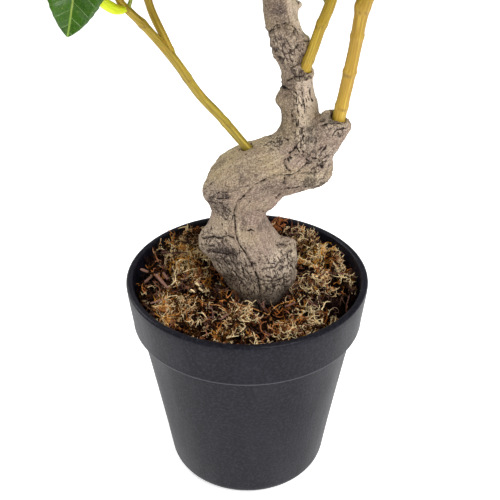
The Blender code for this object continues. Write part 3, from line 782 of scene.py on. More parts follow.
def moss_mat(settings):
    """Make the dark matted bed, a sunken, rough copy of the moss's solid, its near-black tone painted shade
    in the gaps; the strands get its finish.
    """
    mat = merged_copy("moss_bed")
    add_modifier(mat, "SUBSURF", subdivision_type="SIMPLE", levels=2, render_levels=2)
    places = vertex_places(mat.data)
    for place in places:
        if place[2] > BAND_FOOT + 8:
            lump = noise.fractal(Vector(place) * 0.16, 0.9, 2.1, 4)
            lift = moss_clump(place[0], place[1])[2]
            place[2] += 1.6 * lump - 3.6 + 0.5 * min(lift, 1)
    move_vertices(mat.data, places)
    point_attributes(mat.data, look=np.zeros((len(places), 3)))
    smooth(mat, 60)
    fibre = moss_fibre(settings)
    finish_piece(mat, "moss_mat", fibre, ("moss_bed",))
    return fibre


def frond_path(rng, start, heading, length, lift):
    """Points on a curved run over the bed: x, y, heading, share, height over it."""
    bend = rng.gauss(0, 0.15)
    steps = max(2, round(length / FROND_STEP))
    x, y = start
    run = []
    for k in range(steps):
        share = k / (steps - 1)
        run.append((x, y, heading, share, lift * (0.25 + math.sin(math.pi * share))))
        heading += bend + rng.gauss(0, 0.07)
        x, y = x + FROND_STEP * math.cos(heading), y + FROND_STEP * math.sin(heading)
    return run


def sprig_matrix(rng, size, heading, lean):
    """Turns a sprig to a heading and tips it up, both in radians."""
    turn = Matrix.Rotation(heading, 3, "Z")
    tip = Matrix.Rotation(-lean, 3, "Y")
    roll = Matrix.Rotation(rng.uniform(0, math.tau), 3, "X")
    return np.array(turn @ tip @ roll) * size


class Heap:
    """The copies that a heap of moss is made of; the longest sprigs are size long."""

    def __init__(self, rng, kinds, surface, size):
        self.rng, self.kinds, self.surface, self.size = rng, kinds, surface, size
        self.copies = []

    def add(self, x, y, height, size, heading, lean, tone, hue, kinds=SPRIG_KINDS + TENDRIL_KINDS):
        if math.hypot(x - FOOT_MIDDLE[0], y - FOOT_MIDDLE[1]) < FOOT_RADIUS:
            return
        low = self.surface(x, y)
        if low is None:
            return
        kind = self.rng.randrange(kinds)
        matrix = sprig_matrix(self.rng, size, heading, lean)
        shift = np.array((x, y, low + height))
        tips = self.kinds[kind][0] @ matrix.T + shift
        outer = np.hypot(tips[:, 0], tips[:, 1]).max()
        if outer > MOSS_REACH:
            shift[:2] *= 1 - (outer - MOSS_REACH) / max(1.0, math.hypot(x, y))
        look = min(1.3, max(0.0, tone)), min(1.0, max(0.0, hue))
        self.copies.append((kind, matrix, shift, look))

    def frond(self, start, heading, length, size, tone, hue, lift, combed=False):
        """A plume of sprigs that share a direction and a look; a combed one is of straighter strands."""
        spread, kinds = (0.2, STRAIGHT_KINDS) if combed else (0.6, len(self.kinds))
        rng = self.rng
        for x, y, ahead, share, height in frond_path(rng, start, heading, length, lift):
            for side in (-1, 1):
                aside = ahead + side * abs(rng.gauss(spread, 0.65 * spread))
                lean = rng.gauss(0.15, 0.75 * spread)
                own = size * rng.uniform(0.55, 1.0) * (1 - 0.3 * share)
                up = height + rng.gauss(0, 0.7)
                # painted light and shade: higher sprigs are lighter, and a share are darkened and set lower
                shade = tone + rng.gauss(0.04, 0.38) + 0.09 * up
                if rng.random() < SHADED_SHARE:
                    shade, up = 0.2 * shade, up - 0.8
                self.add(x, y, up, own, aside, lean, shade, hue + rng.gauss(0, 0.2), kinds)

    def lay_bundles(self):
        rng = self.rng
        for start, end, tone, hue, lift in BUNDLES:
            way = Vector(end) - Vector(start)
            for _frond in range(3):
                begin = (start[0] + rng.gauss(0, 1.2), start[1] + rng.gauss(0, 1.2))
                heading = math.atan2(way.y, way.x) + rng.gauss(0, 0.1)
                self.frond(begin, heading, way.length, 0.85 * self.size, tone, hue, lift, True)

    def stand_tuft(self):
        rng = self.rng
        x, y, height = TUFT
        for _strand in range(TUFT_STRANDS):
            place = (x + rng.gauss(0, 3), y + rng.gauss(0, 3), rng.uniform(0, 0.6 * height))
            self.add(*place, 0.8 * self.size, rng.uniform(0, math.tau), rng.uniform(0.7, 1.4), 0.75, 0.3)

    def cover_bed(self, count):
        """Fronds in any direction all over the bed, until there are count sprigs."""
        rng = self.rng
        while len(self.copies) < count:
            angle, reach = rng.uniform(0, math.tau), MOSS_REACH * math.sqrt(rng.random())
            x, y = reach * math.cos(angle), reach * math.sin(angle)
            tone, hue, lift, cover = moss_clump(x, y)
            if rng.random() > cover:
                continue
            # painted shade: understory fronds are dark and set low
            if rng.random() < UNDER_SHARE:
                tone, lift, hue = rng.uniform(0.0, 0.3) * tone, -2.0, 0.4 * hue
            else:
                tone = 1.2 * tone + cover * rng.gauss(0, 0.2)
            self.frond((x, y), rng.uniform(0, math.tau), rng.uniform(3, 8), self.size, tone, hue, lift)


class LEMONTREE_OT_moss(bpy.types.Operator):
    """Heap the dried moss: a dark bed, fronds of curly sprigs, rootlets and pale chips"""

    bl_idname = "lemon_tree.moss"
    bl_label = "Moss"

    def execute(self, context):
        settings = context.scene.tree_moss
        rng = random.Random(7)
        bed = merged_copy("moss_bed")
        ground = BVHTree.FromObject(bed, context.evaluated_depsgraph_get())
        bpy.data.objects.remove(bed)

        def surface(x, y):
            hit = ground.ray_cast(Vector((x, y, 200)) * MM, Vector((0, 0, -1)))[0]
            return hit.z / MM if hit else None

        fibre = moss_mat(settings)
        kinds = [sprig_kind(rng, 0.15 + 0.75 * k / SPRIG_KINDS) for k in range(SPRIG_KINDS)]
        kinds += [tendril_kind(rng) for _kind in range(TENDRIL_KINDS)]
        heap = Heap(rng, kinds, surface, settings.sprig_length / MM)
        heap.lay_bundles()
        heap.stand_tuft()
        heap.cover_bed(settings.sprigs)
        for piece in range(SPRIG_PIECES):
            mesh = copies_mesh(kinds, heap.copies[piece::SPRIG_PIECES])
            self.finish(f"moss_sprigs_{piece + 1}", mesh, fibre)
        self.rootlets(surface, fibre)
        self.chips(surface, fibre)
        return {"FINISHED"}

    def finish(self, name, mesh, fibre):
        finish_piece(new_object(name, mesh), name, fibre)

    def rootlets(self, surface, fibre):
        shapes = []
        for points in ROOTLETS:
            over = [(x, y, surface(x, y) + rise, r) for x, y, rise, r in points]
            shapes.append([np.array(values) for values in strand(smooth_line(over, 0.9), 6)])
        copies = [(number, np.eye(3), 0.0, (0.9, 0.5)) for number in range(len(shapes))]
        self.finish("rootlets", copies_mesh(shapes, copies), fibre)

    def chips(self, surface, fibre):
        """Slightly cupped flakes and sticks that lie on the strands."""
        chance = random.Random(3)
        made = []
        for x, y, degrees, length, width, tone in CHIPS:
            deselect()
            bpy.ops.mesh.primitive_cube_add(size=1)
            chip = bpy.context.object
            with edit_mode():
                bpy.ops.mesh.subdivide(number_cuts=3)
            add_modifier(chip, "BEVEL", width=0.06, segments=1)
            shape = vertex_places(chip.data) * MM
            shape[:, 1] *= 1 - 0.5 * np.abs(shape[:, 0])
            shape = shape * (length, width, 0.5 + 0.3 * width)
            shape[:, 2] += 0.05 * shape[:, 0] ** 2 / max(1.0, 0.1 * length**2) + 0.3 * shape[:, 1] ** 2
            turn = Matrix.Rotation(math.radians(degrees), 3, "Z")
            turn = turn @ Matrix.Rotation(chance.gauss(0, 0.18), 3, "Y")
            turn = turn @ Matrix.Rotation(chance.gauss(0, 0.4), 3, "X")
            move_vertices(chip.data, shape @ np.array(turn).T + (x, y, surface(x, y) + CHIP_LIFT))
            point_attributes(chip.data, look=np.tile((tone, 0.02, 0.0), (len(shape), 1)))
            made.append(chip)
        chips = join_items(made)
        smooth(chips, 50)
        finish_piece(chips, "bark_chips", fibre)


# ---------------------------------------------------------------- trunk
# centre line and radius (x, y, z, r) of the trunk and of its stub
TRUNK_LINE = (
    (3, 0, 110, 12.5), (6, 0, 121, 16.5), (6.5, -2, 131, 18.5), (5, -4, 141, 18.5),
    (1.5, -5, 152, 18.5), (-5, -3, 164, 17.5), (-5, 0, 174, 15.0), (-5, -1, 184, 17.5),
    (-3.8, -5, 195, 17.8), (5, -8, 203, 15.9), (15, -7, 206.5, 14.8), (23.8, -5, 212, 14.3),
    (27.4, -1, 220, 12.1), (27.8, 4, 233, 10.4), (26.2, 5, 246, 8.5), (24.2, 3, 259, 8.9),
    (19.7, -1, 273, 9.1), (16.7, -3, 286, 8.2), (12.5, -4, 308, 8.6), (7, 1, 344, 8.4),
    (8, 3, 372, 6.8),
)
STUB_LINE = (
    (22, -4, 205, 13.0), (28.3, -3, 207.5, 12.8), (35.6, -7, 216, 11.5), (41.8, -10, 225, 9.8),
    (46.6, -13, 235.5, 8.2),
)
FINE_VOXEL = 0.95
NEAR_CRACK = 1.5  # the mesh is twice as fine this close to a crack
STREAK_LENGTH = 7.0  # how many times longer than wide the bark's streaks are
# the stub is what stands right of this side, between these heights
STUB_SIDE, STUB_FOOT, STUB_TOP = 30, 196, 238
STUB_SHIFT = 40  # keeps the stub's streaks apart from the trunk's
BURIED = 108  # the bark is plain below this height, in the moss
ARM_HEIGHT = 195  # the body's paint is greyer below the arm's
UPPER_FOOT = 216  # height where the upper trunk begins
RINGS_SIDE = 36  # the rings end left of this
# painted cracks: half width and depth, then x, z, x, z ... of their points, seen level from the front
CRACKS = (
    # the long seam of the mould
    (0.5, 1.3, 7, 121, 7, 134.5, 6, 142.5, 3, 151, -0.5, 158.5, -4.5, 164.5, -6.5, 171.5),
    (0.5, 1.1, -6.5, 171.5, -6.5, 176, -7, 181, -6.5, 185, -5.5, 188.5, -4.5, 191.5),
    (0.5, 0.9, -5, 192, -3.5, 192, -0.5, 196, 1, 198),
    (0.22, 0.5, 1, 198, 4, 202, 9.5, 204.5, 13.5, 206.5, 19.5, 206, 22.5, 206),
    (0.5, 0.6, 20.5, 206, 22.5, 206, 24.5, 207),
    (0.25, 0.5, 24.5, 207, 27, 208, 30, 210, 31, 211.5, 32.5, 211.5),
    (0.12, 0.3, 25.5, 207, 29, 206, 35, 206.5, 37.5, 206.5, 39, 208),
    # the body over the foot
    (0.9, 0.9, -25, 163, -23.5, 163.5, -21, 165, -18.5, 166, -16, 166, -13.5, 166),
    (0.5, 0.7, -13, 167, -10.5, 168, -7, 167.5),
    (0.5, 0.6, -23, 161.5, -21, 161, -19, 161.5),
    (0.7, 0.9, -21, 157.5, -18.5, 157, -15.5, 156.5, -11.5, 156.5, -8.5, 158, -6, 156.5),
    (0.4, 0.7, -14.5, 155, -12, 151, -10, 147.5, -8, 146.5, -5.5, 143.5, -4, 140),
    (0.35, 0.5, -11.5, 153, -10, 150, -8.5, 148.5),
    (0.4, 0.7, -10, 156.5, -8.5, 152.5, -6, 150.5, -4.5, 147.5, -3.5, 145.5),
    (0.5, 0.8, -2.5, 150, -2, 146.5, -1, 143, 0, 140),
    (0.35, 0.6, -1.5, 150, 0, 147.5, 1.5, 145.5, 3.5, 144),
    (0.35, 0.6, -7.5, 143.5, -5.5, 140.5, -3.5, 138.5, -1, 136),
    (0.3, 0.5, -17.5, 152, -15.5, 146, -13, 141),
    (0.2, 0.4, 6, 156, 8, 156, 10.5, 156),
    (0.2, 0.4, 8, 152, 11.5, 151.5, 15.5, 150.5),
    (0.4, 0.6, 7, 147, 9, 148.5, 11.5, 148.5, 15, 148, 16.5, 149),
    (0.4, 0.6, 11, 143, 12.5, 143, 14, 141),
    (0.45, 0.7, 9, 140.5, 13.5, 140, 16, 139, 19, 139.5, 22, 139.5, 24.5, 138.5),
    (0.35, 0.6, 8.5, 138, 11.5, 138, 15, 137.5, 18.5, 137.5),
    (0.45, 0.7, 13, 135, 17, 135, 21, 135.5, 25, 136),
    (0.15, 0.4, 21, 156.5, 22.5, 154.5, 22.5, 152.5, 24.5, 149.5, 25.5, 146),
    (0.22, 0.4, -0.5, 171, 1, 171, 2, 171.5, 4, 170.5),
    # the left knot and the arm's underside
    (0.4, 0.6, -17, 193, -14.5, 195, -12, 195.5, -9.5, 195.5),
    (0.45, 0.7, -16, 191, -12.5, 191.5, -10, 192.5, -8.5, 194.5),
    (0.3, 0.5, -20, 191, -18.5, 191, -16.5, 192),
    (0.4, 0.5, -20.5, 188, -18.5, 188, -16, 187.5),
    (0.25, 0.4, -15.5, 189, -13, 187.5),
    (0.22, 0.4, -13, 186.5, -10.5, 184, -8.5, 182.5),
    (0.6, 0.9, 19.5, 204.5, 19.5, 203, 19.5, 201),
    (0.4, 0.6, 17.5, 196.5, 19.5, 197, 22, 197, 25.5, 197, 28, 197.5),
    (0.6, 0.8, 18, 193.5, 16.5, 191.5, 15.5, 189.5),
    # the scar where the arm and the stub part
    (0.6, 0.8, 19.5, 214.5, 19, 212.5, 20, 211, 21, 209, 22.5, 208),
    (0.35, 0.5, 21, 215, 21.5, 213.5),
    (0.25, 0.5, 22, 216, 22.5, 215, 23.5, 215.5, 24.5, 216.5),
    (0.5, 0.7, 22, 217.5, 23, 218, 24, 218.5, 25, 220),
    (0.4, 0.6, 25.5, 220, 26.5, 218.5, 27, 217.5),
    (0.45, 0.6, 27.5, 219.5, 28, 218.5, 29, 217.5),
    (0.5, 0.8, 25, 216.5, 27, 215.5, 28.5, 216, 30, 214.5, 31.5, 213, 33, 212),
    (0.5, 0.7, 31, 216.5, 32.5, 215.5, 34, 214),
    (0.15, 0.3, 34, 214, 36, 214.5, 39, 214.5),
    (0.2, 0.3, 33.5, 212.5, 35.5, 212.5, 36.5, 213.5),
    # the stub
    (0.4, 0.6, 37, 216, 38, 218.5, 39.5, 220.5, 40.5, 222),
    (0.15, 0.3, 40.5, 222.5, 43, 223, 45, 222.5),
    (0.6, 0.8, 39, 212, 38.5, 209.5, 39.5, 208),
    (0.35, 0.5, 29, 225, 28.5, 223.5, 29, 222.5),
    (0.35, 0.5, 31.5, 224, 32.5, 224, 33, 223),
    (0.3, 0.5, 31.5, 227.5, 33, 228),
    (0.5, 0.6, 44.5, 230.5, 45.5, 231.5, 48.5, 231.5),
    (0.4, 0.6, 37.5, 231.5, 40, 233.5, 42.5, 234, 44.5, 234.5, 47, 233.5),
    (0.6, 0.7, 38.5, 235.5, 37.5, 233.5, 39, 234.5),
    (0.25, 0.4, 19, 223, 21, 222.5),
    # the upper trunk
    (0.5, 0.8, 20.5, 250, 22.5, 251.5, 24, 252.5, 25.5, 254, 27, 254, 31, 254),
    (0.9, 0.9, 18, 245.5, 19.5, 245.5),
    (0.5, 0.7, 20.5, 245.5, 22.5, 245, 24, 245),
    (0.25, 0.5, 24, 245, 25.5, 243.5, 25.5, 241, 25.5, 238.5, 26, 235.5, 26.5, 234),
    (0.12, 0.4, 28, 252, 28, 247, 28.5, 243.5, 29, 240.5, 29.5, 237, 29.5, 234),
    (0.35, 0.4, 33, 241, 33.5, 239),
    (0.3, 0.4, 22.5, 234.5, 23.5, 232),
    (0.35, 0.5, 25, 231, 25.5, 229, 26, 227.5),
    (0.6, 0.8, 11, 277, 12.5, 278.5),
    (0.22, 0.6, 13, 280, 14, 281, 16.5, 281.5, 19, 282, 20.5, 281.5),
    (0.35, 0.4, 13.5, 279, 15.5, 280),
    (0.35, 0.6, 22, 280.5, 23, 279.5, 24.5, 278, 25.5, 276.5),
    (0.25, 0.4, 27.5, 272, 31, 271),
    (0.25, 0.4, 21.5, 268.5, 22, 266, 24, 265.5),
    (0.3, 0.4, 22, 262.5, 23, 261.5),
    (0.5, 0.6, 16.5, 263.5, 17.5, 263, 18.5, 261.5),
    (0.3, 0.4, 25, 271, 24.5, 269.5),
)
# dark sunken spots: (x, z) of the middle, half sizes across and up, depth
HOLLOWS = (
    ((-14, 158.5), (9.0, 4.2), 1.0),
    ((-8, 152), (3.5, 3.5), 0.4),
    ((-20, 164.5), (5.5, 1.2), 0.35),
    ((19, 147.5), (2.6, 1.8), 0.5),
    ((1, 152.5), (1.8, 2.6), 0.35),
    ((-12, 193.5), (3.8, 1.7), 0.9),
    ((19.5, 201), (1.0, 1.0), 0.9),
    ((39, 209), (1.4, 1.2), 0.8),
    ((16.5, 221.5), (0.9, 1.6), 0.35),
    ((19, 225), (0.7, 0.7), 0.6),
    ((35, 223.5), (0.9, 0.8), 0.6),
    ((10.5, 276), (1.6, 1.6), 1.0),
    ((13.5, 267.5), (1.6, 1.2), 0.8),
    ((16.5, 263), (1.6, 1.2), 0.9),
    ((18.5, 272.5), (0.9, 1.5), 0.7),
    ((22, 267.5), (1.2, 1.2), 0.5),
    ((16, 288), (4.0, 2.4), 0.4),
    ((18.5, 245.5), (2.0, 1.3), 0.8),
    ((27.5, 264), (1.8, 4.5), 0.4),
    ((7, 127), (5.0, 3.5), 0.4),
    ((1, 171.2), (1.6, 0.6), 0.35),
    ((44, 235.5), (3.6, 1.0), 0.5),
)
# small knobs that stand out of the bark: (x, y, z), reach, height
KNOBS = (
    ((25.5, -2, 289.5), 1.6, 1.5),
    ((9.5, -2, 277.5), 2.2, 0.9),
    ((12.5, -2, 269.0), 2.0, 1.0),
    ((15.0, -2, 264.5), 2.2, 0.9),
    ((36.5, 0, 252.5), 2.0, 1.4),
    ((51.0, -14, 232.0), 3.0, 0.7),
    ((45.5, -6, 238.0), 3.0, 0.8),
    ((39.0, -15, 235.5), 2.2, 0.8),
    ((47.5, -20, 231.5), 2.0, 0.7),
    ((24.5, -6, 157.0), 3.6, 1.7),
    ((27.0, -8, 147.0), 3.0, 0.8),
    ((2.0, -10, 219.3), 1.4, -1.6),  # the gap beside the left stem in its socket, dented and painted dark as its shade
)
# where the sunlit facet of the upper trunk begins: height, way right of the centre line
FACET_HEIGHTS = (218, 226, 250, 254, 273, 280, 286, 293, 372)
FACET_EDGES = (0, -1.5, -1.5, 8, 8, 5, 3.2, 3, 3)
# patches of the front: (x, z) of the middle, half sizes, lighter, pinker; lighter is painted light and
# shade, such as the arm's shaded underside and the lit right lobe, and pinker is the paint's own hue
PATCHES = (
    ((15, 199), (9, 6), -0.75, 0.05),
    ((2, 207), (8, 6), -0.35, 0.0),
    ((22, 246), (6, 5), -0.4, 0.0),
    ((-4, 131), (8, 6), 0.25, 0.0),
    ((25, 200), (9, 5), -0.3, 0.05),
    ((-16, 156), (10, 8), -0.6, 0.05),
    ((10, 157), (8, 9), -0.1, 0.1),
    ((2, 174), (8, 9), -0.15, 0.1),
    ((0, 203), (14, 8), -0.12, 0.05),
    ((27, 236), (7, 10), -0.15, 0.0),
    ((18, 150), (9, 8), 0.85, 0.1),
    ((-16, 190), (8, 8), -0.5, 0.1),
    ((26, 213.5), (7, 6), -0.3, 0.35),
    ((42, 222), (8, 10), -0.4, 0.15),
    ((38, 209), (7, 5), -0.2, 0.1),
    ((-6, 140), (8, 10), -0.2, 0.05),
    ((15, 289), (4.5, 4), -0.7, 0.0),
    ((29, 246), (4, 8), 0.3, 0.1),
)
# raised rings round the trunk: height of the middle, how much they stand out
RINGS = ((250.5, 0.9), (279, 0.7), (300, 0.8), (331, 0.9), (352, 0.7))
# where the bark is crackled all over: centre (x, y, z), reach, and whether the lines lie level
CRACKLED = (
    ((19, -14, 146), 15, True), ((16, -16, 134), 14, True), ((-9, -16, 150), 18, False),
    ((-16, -14, 160), 12, False), ((-2, -16, 136), 18, False), ((30, -14, 225), 9, False),
    ((22, -12, 212), 6, False), ((44, -16, 232), 8, False), ((42, -16, 214), 9, False),
    ((34, -16, 200), 9, False), ((-16, -14, 189), 9, True), ((-12, -14, 182), 9, False),
    ((15, -10, 218), 8, False), ((20, -6, 268), 12, False), ((26, -6, 256), 7, True),
    ((28, -6, 240), 6, False), ((10, -2, 310), 14, False), ((8, 10, 340), 16, False),
    ((0, 14, 190), 16, False), ((10, 16, 150), 18, True),
)


class TrunkSettings(bpy.types.PropertyGroup):
    bark: colour_choice("Bark", "The bark's main colour", 169, 149, 124)
    warm: colour_choice("Warm patches", "Buff patches", 172, 152, 115)
    grey: colour_choice("Grey patches", "Pinkish grey patches", 158, 136, 122)
    wash: colour_choice("Wash", "Dark paint left in the cracks", 64, 52, 50)
    relief: bpy.props.FloatProperty(
        name="Relief", description="Height of the bark's ridges", default=0.0005, unit="LENGTH"
    )


def crack_net(tree, grain, stretch, scale, zone, torn):
    """Broken fine lines round cells that are stretched along the grain or across it."""
    edge = cells(tree, stretched(tree, grain, stretch), scale, "DISTANCE_TO_EDGE")
    edge = plus(tree, edge, span(tree, torn, 0.35, 0.65, 0.045, -0.035))
    shown = plus(tree, times(tree, zone, 0.22), torn)
    return times(tree, span(tree, edge, 0.045, 0.11, 1.0, 0.0), span(tree, shown, 0.62, 0.7))


def specks(tree, vector, scale, size, share):
    """Small marks, each in a cell of its own, in a share of the cells."""
    made = add_node(tree, "ShaderNodeTexVoronoi", {"Vector": vector, "Scale": scale})
    chance = add_node(tree, "ShaderNodeSeparateColor", {"Color": made.outputs["Color"]})
    kept = maths(tree, "LESS_THAN", chance.outputs["Red"], share)
    bulk = span(tree, chance.outputs["Green"], 0.0, 1.0, 0.5 * size, size)
    inside = span(tree, maths(tree, "DIVIDE", made.outputs["Distance"], bulk), 0.7, 1.0, 1.0, 0.0)
    return times(tree, inside, kept)


def bark_lines(tree, wavy, zone, crackled, torn):
    """Short painted strokes all over, and broken nets of lines where the bark is crackled."""
    dense = span(tree, plus(tree, crackled, times(tree, torn, 1.2)), 0.5, 1.35, 0.03, 0.9)
    lines = specks(tree, wavy, 0.6, 0.32, dense)
    longer = specks(tree, stretched(tree, wavy, (1, 1, 2.6)), 0.7, 0.28, dense)
    lines = maths(tree, "MAXIMUM", lines, longer)
    for part, stretch in (("X", (1, 1, 3.0)), ("Y", (0.5, 0.5, 7.5))):
        net = crack_net(tree, wavy, stretch, 0.5, zone[part], torn)
        lines = maths(tree, "MAXIMUM", net, lines)
    return lines


def bark_paint(settings):
    """Paint that follows the mesh's attributes: its cracks, washes, crackle, shade and hue."""
    material, tree, shader = new_material("Bark_paint", 0.82, 0.25)
    place = object_place(tree)
    grain = attribute(tree, "grain", "Vector")
    wave = add_node(tree, "ShaderNodeTexNoise", {"Vector": grain, "Scale": 0.6}).outputs["Color"]
    wavy = add_node(tree, "ShaderNodeVectorMath", {0: grain, 1: wave}, operation="ADD").outputs["Vector"]
    hue = plus(tree, cloud(tree, place, 38, 3), attribute(tree, "hue"))
    tint = ramp(tree, hue, (0.34, settings.grey), (0.5, settings.bark), (0.66, settings.warm))
    patches = cloud(tree, wavy, 0.22, 4, 0.6, 0.5)
    streaks = cloud(tree, grain, 0.6, 5, 0.65, 0.6)
    speckle = cloud(tree, place, 1150, 3, 0.75)
    tint = coats(
        tree,
        tint,
        (patches, (0.5, 0.68, 0.0, 0.36), 128, 106, 92),
        (streaks, (0.5, 0.68, 0.0, 0.45), 122, 102, 86),
        (streaks, (0.34, 0.46, 0.5, 0.0), 204, 188, 164),
    )
    zone = parts(tree, attribute(tree, "crackled", "Vector"))
    crackled = maths(tree, "MAXIMUM", zone["X"], zone["Y"])
    pale = times(tree, crackled, span(tree, speckle, 0.4, 0.6, 0.75, 0.2))
    # painted light and shade, by the shade attribute: a lit facet and light patches, a shaded side and dark
    # patches
    shade = attribute(tree, "shade")
    tint = coats(
        tree,
        mix(tree, pale, tint, linear(210, 193, 172)),
        (shade, (-1.0, 0.0, 0.9, 0.0), 98, 82, 74),
        (shade, (0.0, 1.0, 0.0, 0.9), 222, 202, 182),
        (speckle, (0.52, 0.62, 0.0, 0.6), 92, 73, 62),
        (speckle, (0.38, 0.48, 0.45, 0.0), 220, 202, 178),
    )
    torn = cloud(tree, place, 380, 3, 0.65)
    lines = bark_lines(tree, wavy, zone, crackled, torn)
    away = plus(tree, attribute(tree, "crack"), span(tree, torn, 0.3, 0.7, -0.25, 0.35))
    painted = span(tree, away, 0.0, 0.22, 1.0, 0.0)
    halo = times(tree, span(tree, away, 0.0, 1.4, 0.25, 0.0), span(tree, speckle, 0.35, 0.6))
    smudge = times(tree, attribute(tree, "wash"), span(tree, speckle, 0.36, 0.58, 0.35, 1.2))
    tint = mix(tree, halo, tint, linear(100, 82, 70))
    tint = mix(tree, span(tree, smudge, 0.0, 1.0), tint, settings.wash)
    tint = mix(tree, times(tree, lines, 0.93), tint, linear(66, 52, 46))
    tint = mix(tree, times(tree, painted, 0.96), tint, linear(38, 28, 25))
    # painted shade: the bark darkens towards its foot, under the body's bulge
    foot_shade_height = plus(tree, parts(tree, place)["Z"], span(tree, torn, 0.3, 0.7, -0.003, 0.003))
    tint = coats(tree, tint, (foot_shade_height, (0.126, 0.138, 0.6, 0.0), 58, 48, 42))
    relief = maths(tree, "SUBTRACT", times(tree, streaks, 0.8), maths(tree, "MAXIMUM", lines, painted))
    relief = maths(tree, "SUBTRACT", plus(tree, relief, times(tree, speckle, 0.6)), patches)
    finish_shader(tree, shader, tint, (relief, 0.6, 0.9))
    return material


def segment_distance(places, a, b):
    """Distance of each place from the segment a-b."""
    way = b - a
    share = np.clip(((places - a) @ way) / (way @ way), 0, 1)
    return np.linalg.norm(places - (a + share[:, None] * way), axis=1)


def front_point(skin, x, z):
    """The bark's front surface at an (x, z) seen from the front, level."""
    return np.array(skin.ray_cast(Vector((x, -200, z)) * MM, Vector((0, 1, 0)))[0]) / MM


def crack_route(skin, points):
    """A crack's points, laid on the bark and smoothed."""
    spots = [(*front_point(skin, x, z), 0) for x, z in zip(points[::2], points[1::2])]
    return [np.array(point.xyz) for point in smooth_line(spots, 2.0)]


def route_distance(places, route):
    return np.min([segment_distance(places, a, b) for a, b in zip(route, route[1:])], axis=0)


def bark_relief(places, grain):
    """Ridges and furrows that run with the grain, at each place."""
    rise = np.empty(len(places))
    for k, (place, flow) in enumerate(zip(places, grain)):
        broad = noise.fractal(Vector(place) * 0.09, 1.0, 2.0, 3)
        ridge = noise.ridged_multi_fractal(Vector(flow) * 0.24, 1.0, 2.1, 4, 0.9, 2.0)
        fine = noise.fractal(Vector(flow) * 0.9, 0.8, 2.2, 3)
        rise[k] = 1.6 * broad + 0.9 * (ridge - 1.1) + 0.7 * fine
    return rise


class Bark:
    """What the carving gives each vertex: how far it rises, and the looks that the paint follows."""

    def __init__(self, places, normals, relief):
        self.places, self.normals = places, normals
        self.x, _y, self.z = places.T
        sides = ease(self.x, STUB_SIDE, 6) * ease(-self.z, -STUB_TOP, 4) * ease(self.z, STUB_FOOT, 6)
        self.upper = ease(self.z, UPPER_FOOT, 8) * (1 - sides)
        grain, stub_grain = (
            grain_of(places, smooth_line(line, 2.0), STREAK_LENGTH) for line in (TRUNK_LINE, STUB_LINE)
        )
        self.grain = grain * (1 - sides[:, None]) + (stub_grain + STUB_SHIFT) * sides[:, None]
        self.rise = bark_relief(places, self.grain) * relief
        self.wash = np.clip(-self.rise / 0.6 - 0.6, 0, 0.5)
        self.crack = np.full(len(places), 6.0)
        self.crackled = np.zeros((len(places), 3))

    def away_from(self, centre):
        return np.linalg.norm(self.places - np.array(centre), axis=1)

    def cut_cracks(self, routes):
        wobble = 0.4 * unevenness(self.places, 0.6)
        for route, (half, depth, *_points) in zip(routes, CRACKS):
            away = route_distance(self.places, route) + wobble
            self.rise -= 0.8 * depth * np.clip(1.1 - away / (half + 0.35), 0, 1) ** 1.3
            self.rise += 0.16 * bell(away - half - 1.0, 0.7)
            self.crack = np.minimum(self.crack, away - 0.4 * half)

    def sink_hollows(self, skin):
        for middle, half, depth in HOLLOWS:
            across, deep, up = (self.places - front_point(skin, *middle)).T
            reach = (across / half[0]) ** 2 + (up / half[1]) ** 2 + (deep / 9) ** 2
            sunk = np.exp(-reach * 1.2)
            self.rise -= depth * sunk
            self.rise += 0.35 * depth * np.exp(-((reach - 1.8) ** 2) / 0.6)
            self.wash = np.maximum(self.wash, min(1.0, 1.5 * depth) * np.clip(1.5 * sunk - 0.25, 0, 1))

    def raise_knobs(self):
        for centre, reach, height in KNOBS:
            away = self.away_from(centre)
            self.rise += height * bell(away, reach)
            if height < 0:
                self.crack = np.minimum(self.crack, away - 0.8 * reach)

    def raise_rings(self):
        """Tilted rings that stop short of the stub, each with dark paint under it."""
        uneven = unevenness(self.places, 0.25)
        for level, height in RINGS:
            tilt = self.z - level - 0.25 * (self.x - 20) + 2.2 * uneven
            self.rise += height * bell(tilt, 1.5) * (0.6 + 0.8 * uneven) * (self.x < RINGS_SIDE)
            under = 0.55 * bell(tilt + 2.4) * (uneven > -0.15) * (self.x < RINGS_SIDE)
            self.wash = np.maximum(self.wash, under)

    def crackle(self):
        for centre, reach, level in CRACKLED:
            strength = np.clip(1.5 - 1.3 * self.away_from(centre) / reach, 0, 1)
            zone = self.crackled[:, int(level)]
            np.maximum(zone, strength, out=zone)

    def shade_facets(self):
        """Painted light and shade: a lit right side and a shaded left side of the upper trunk, with an edge
        between them.
        """
        middles, _depths, heights, _radii = zip(*TRUNK_LINE)
        beyond = self.x - np.interp(self.z, heights, middles)
        beyond -= np.interp(self.z, FACET_HEIGHTS, FACET_EDGES)
        self.shade = (1.3 * np.clip(0.5 + beyond / 1.4, 0, 1) - 0.5) * self.upper
        self.rise += 0.35 * bell(beyond, 0.7) * (self.upper > 0.7)

    def tint_patches(self):
        """The arm's top is buff; its underside and the body are greyer. Patches of painted light and shade
        lighten or darken the front, and some are pinker.
        """
        self.hue = 0.1 * np.clip((self.z - ARM_HEIGHT) / 8, -1, 1) - 0.08 * (self.z > UPPER_FOOT)
        for middle, half, lighter, pinker in PATCHES:
            reach = ((self.x - middle[0]) / half[0]) ** 2 + ((self.z - middle[1]) / half[1]) ** 2
            weight = np.exp(-reach) * np.clip(0.5 - 2 * self.normals[:, 1], 0, 1)
            self.shade += lighter * weight
            self.hue -= pinker * weight

    def put_on(self, mesh):
        rise = self.rise * ease(self.z, BURIED, 6)
        move_vertices(mesh, self.places + self.normals * rise[:, None])
        looks = ("grain", "crack", "wash", "shade", "hue", "crackled")
        point_attributes(mesh, **{name: getattr(self, name) for name in looks})


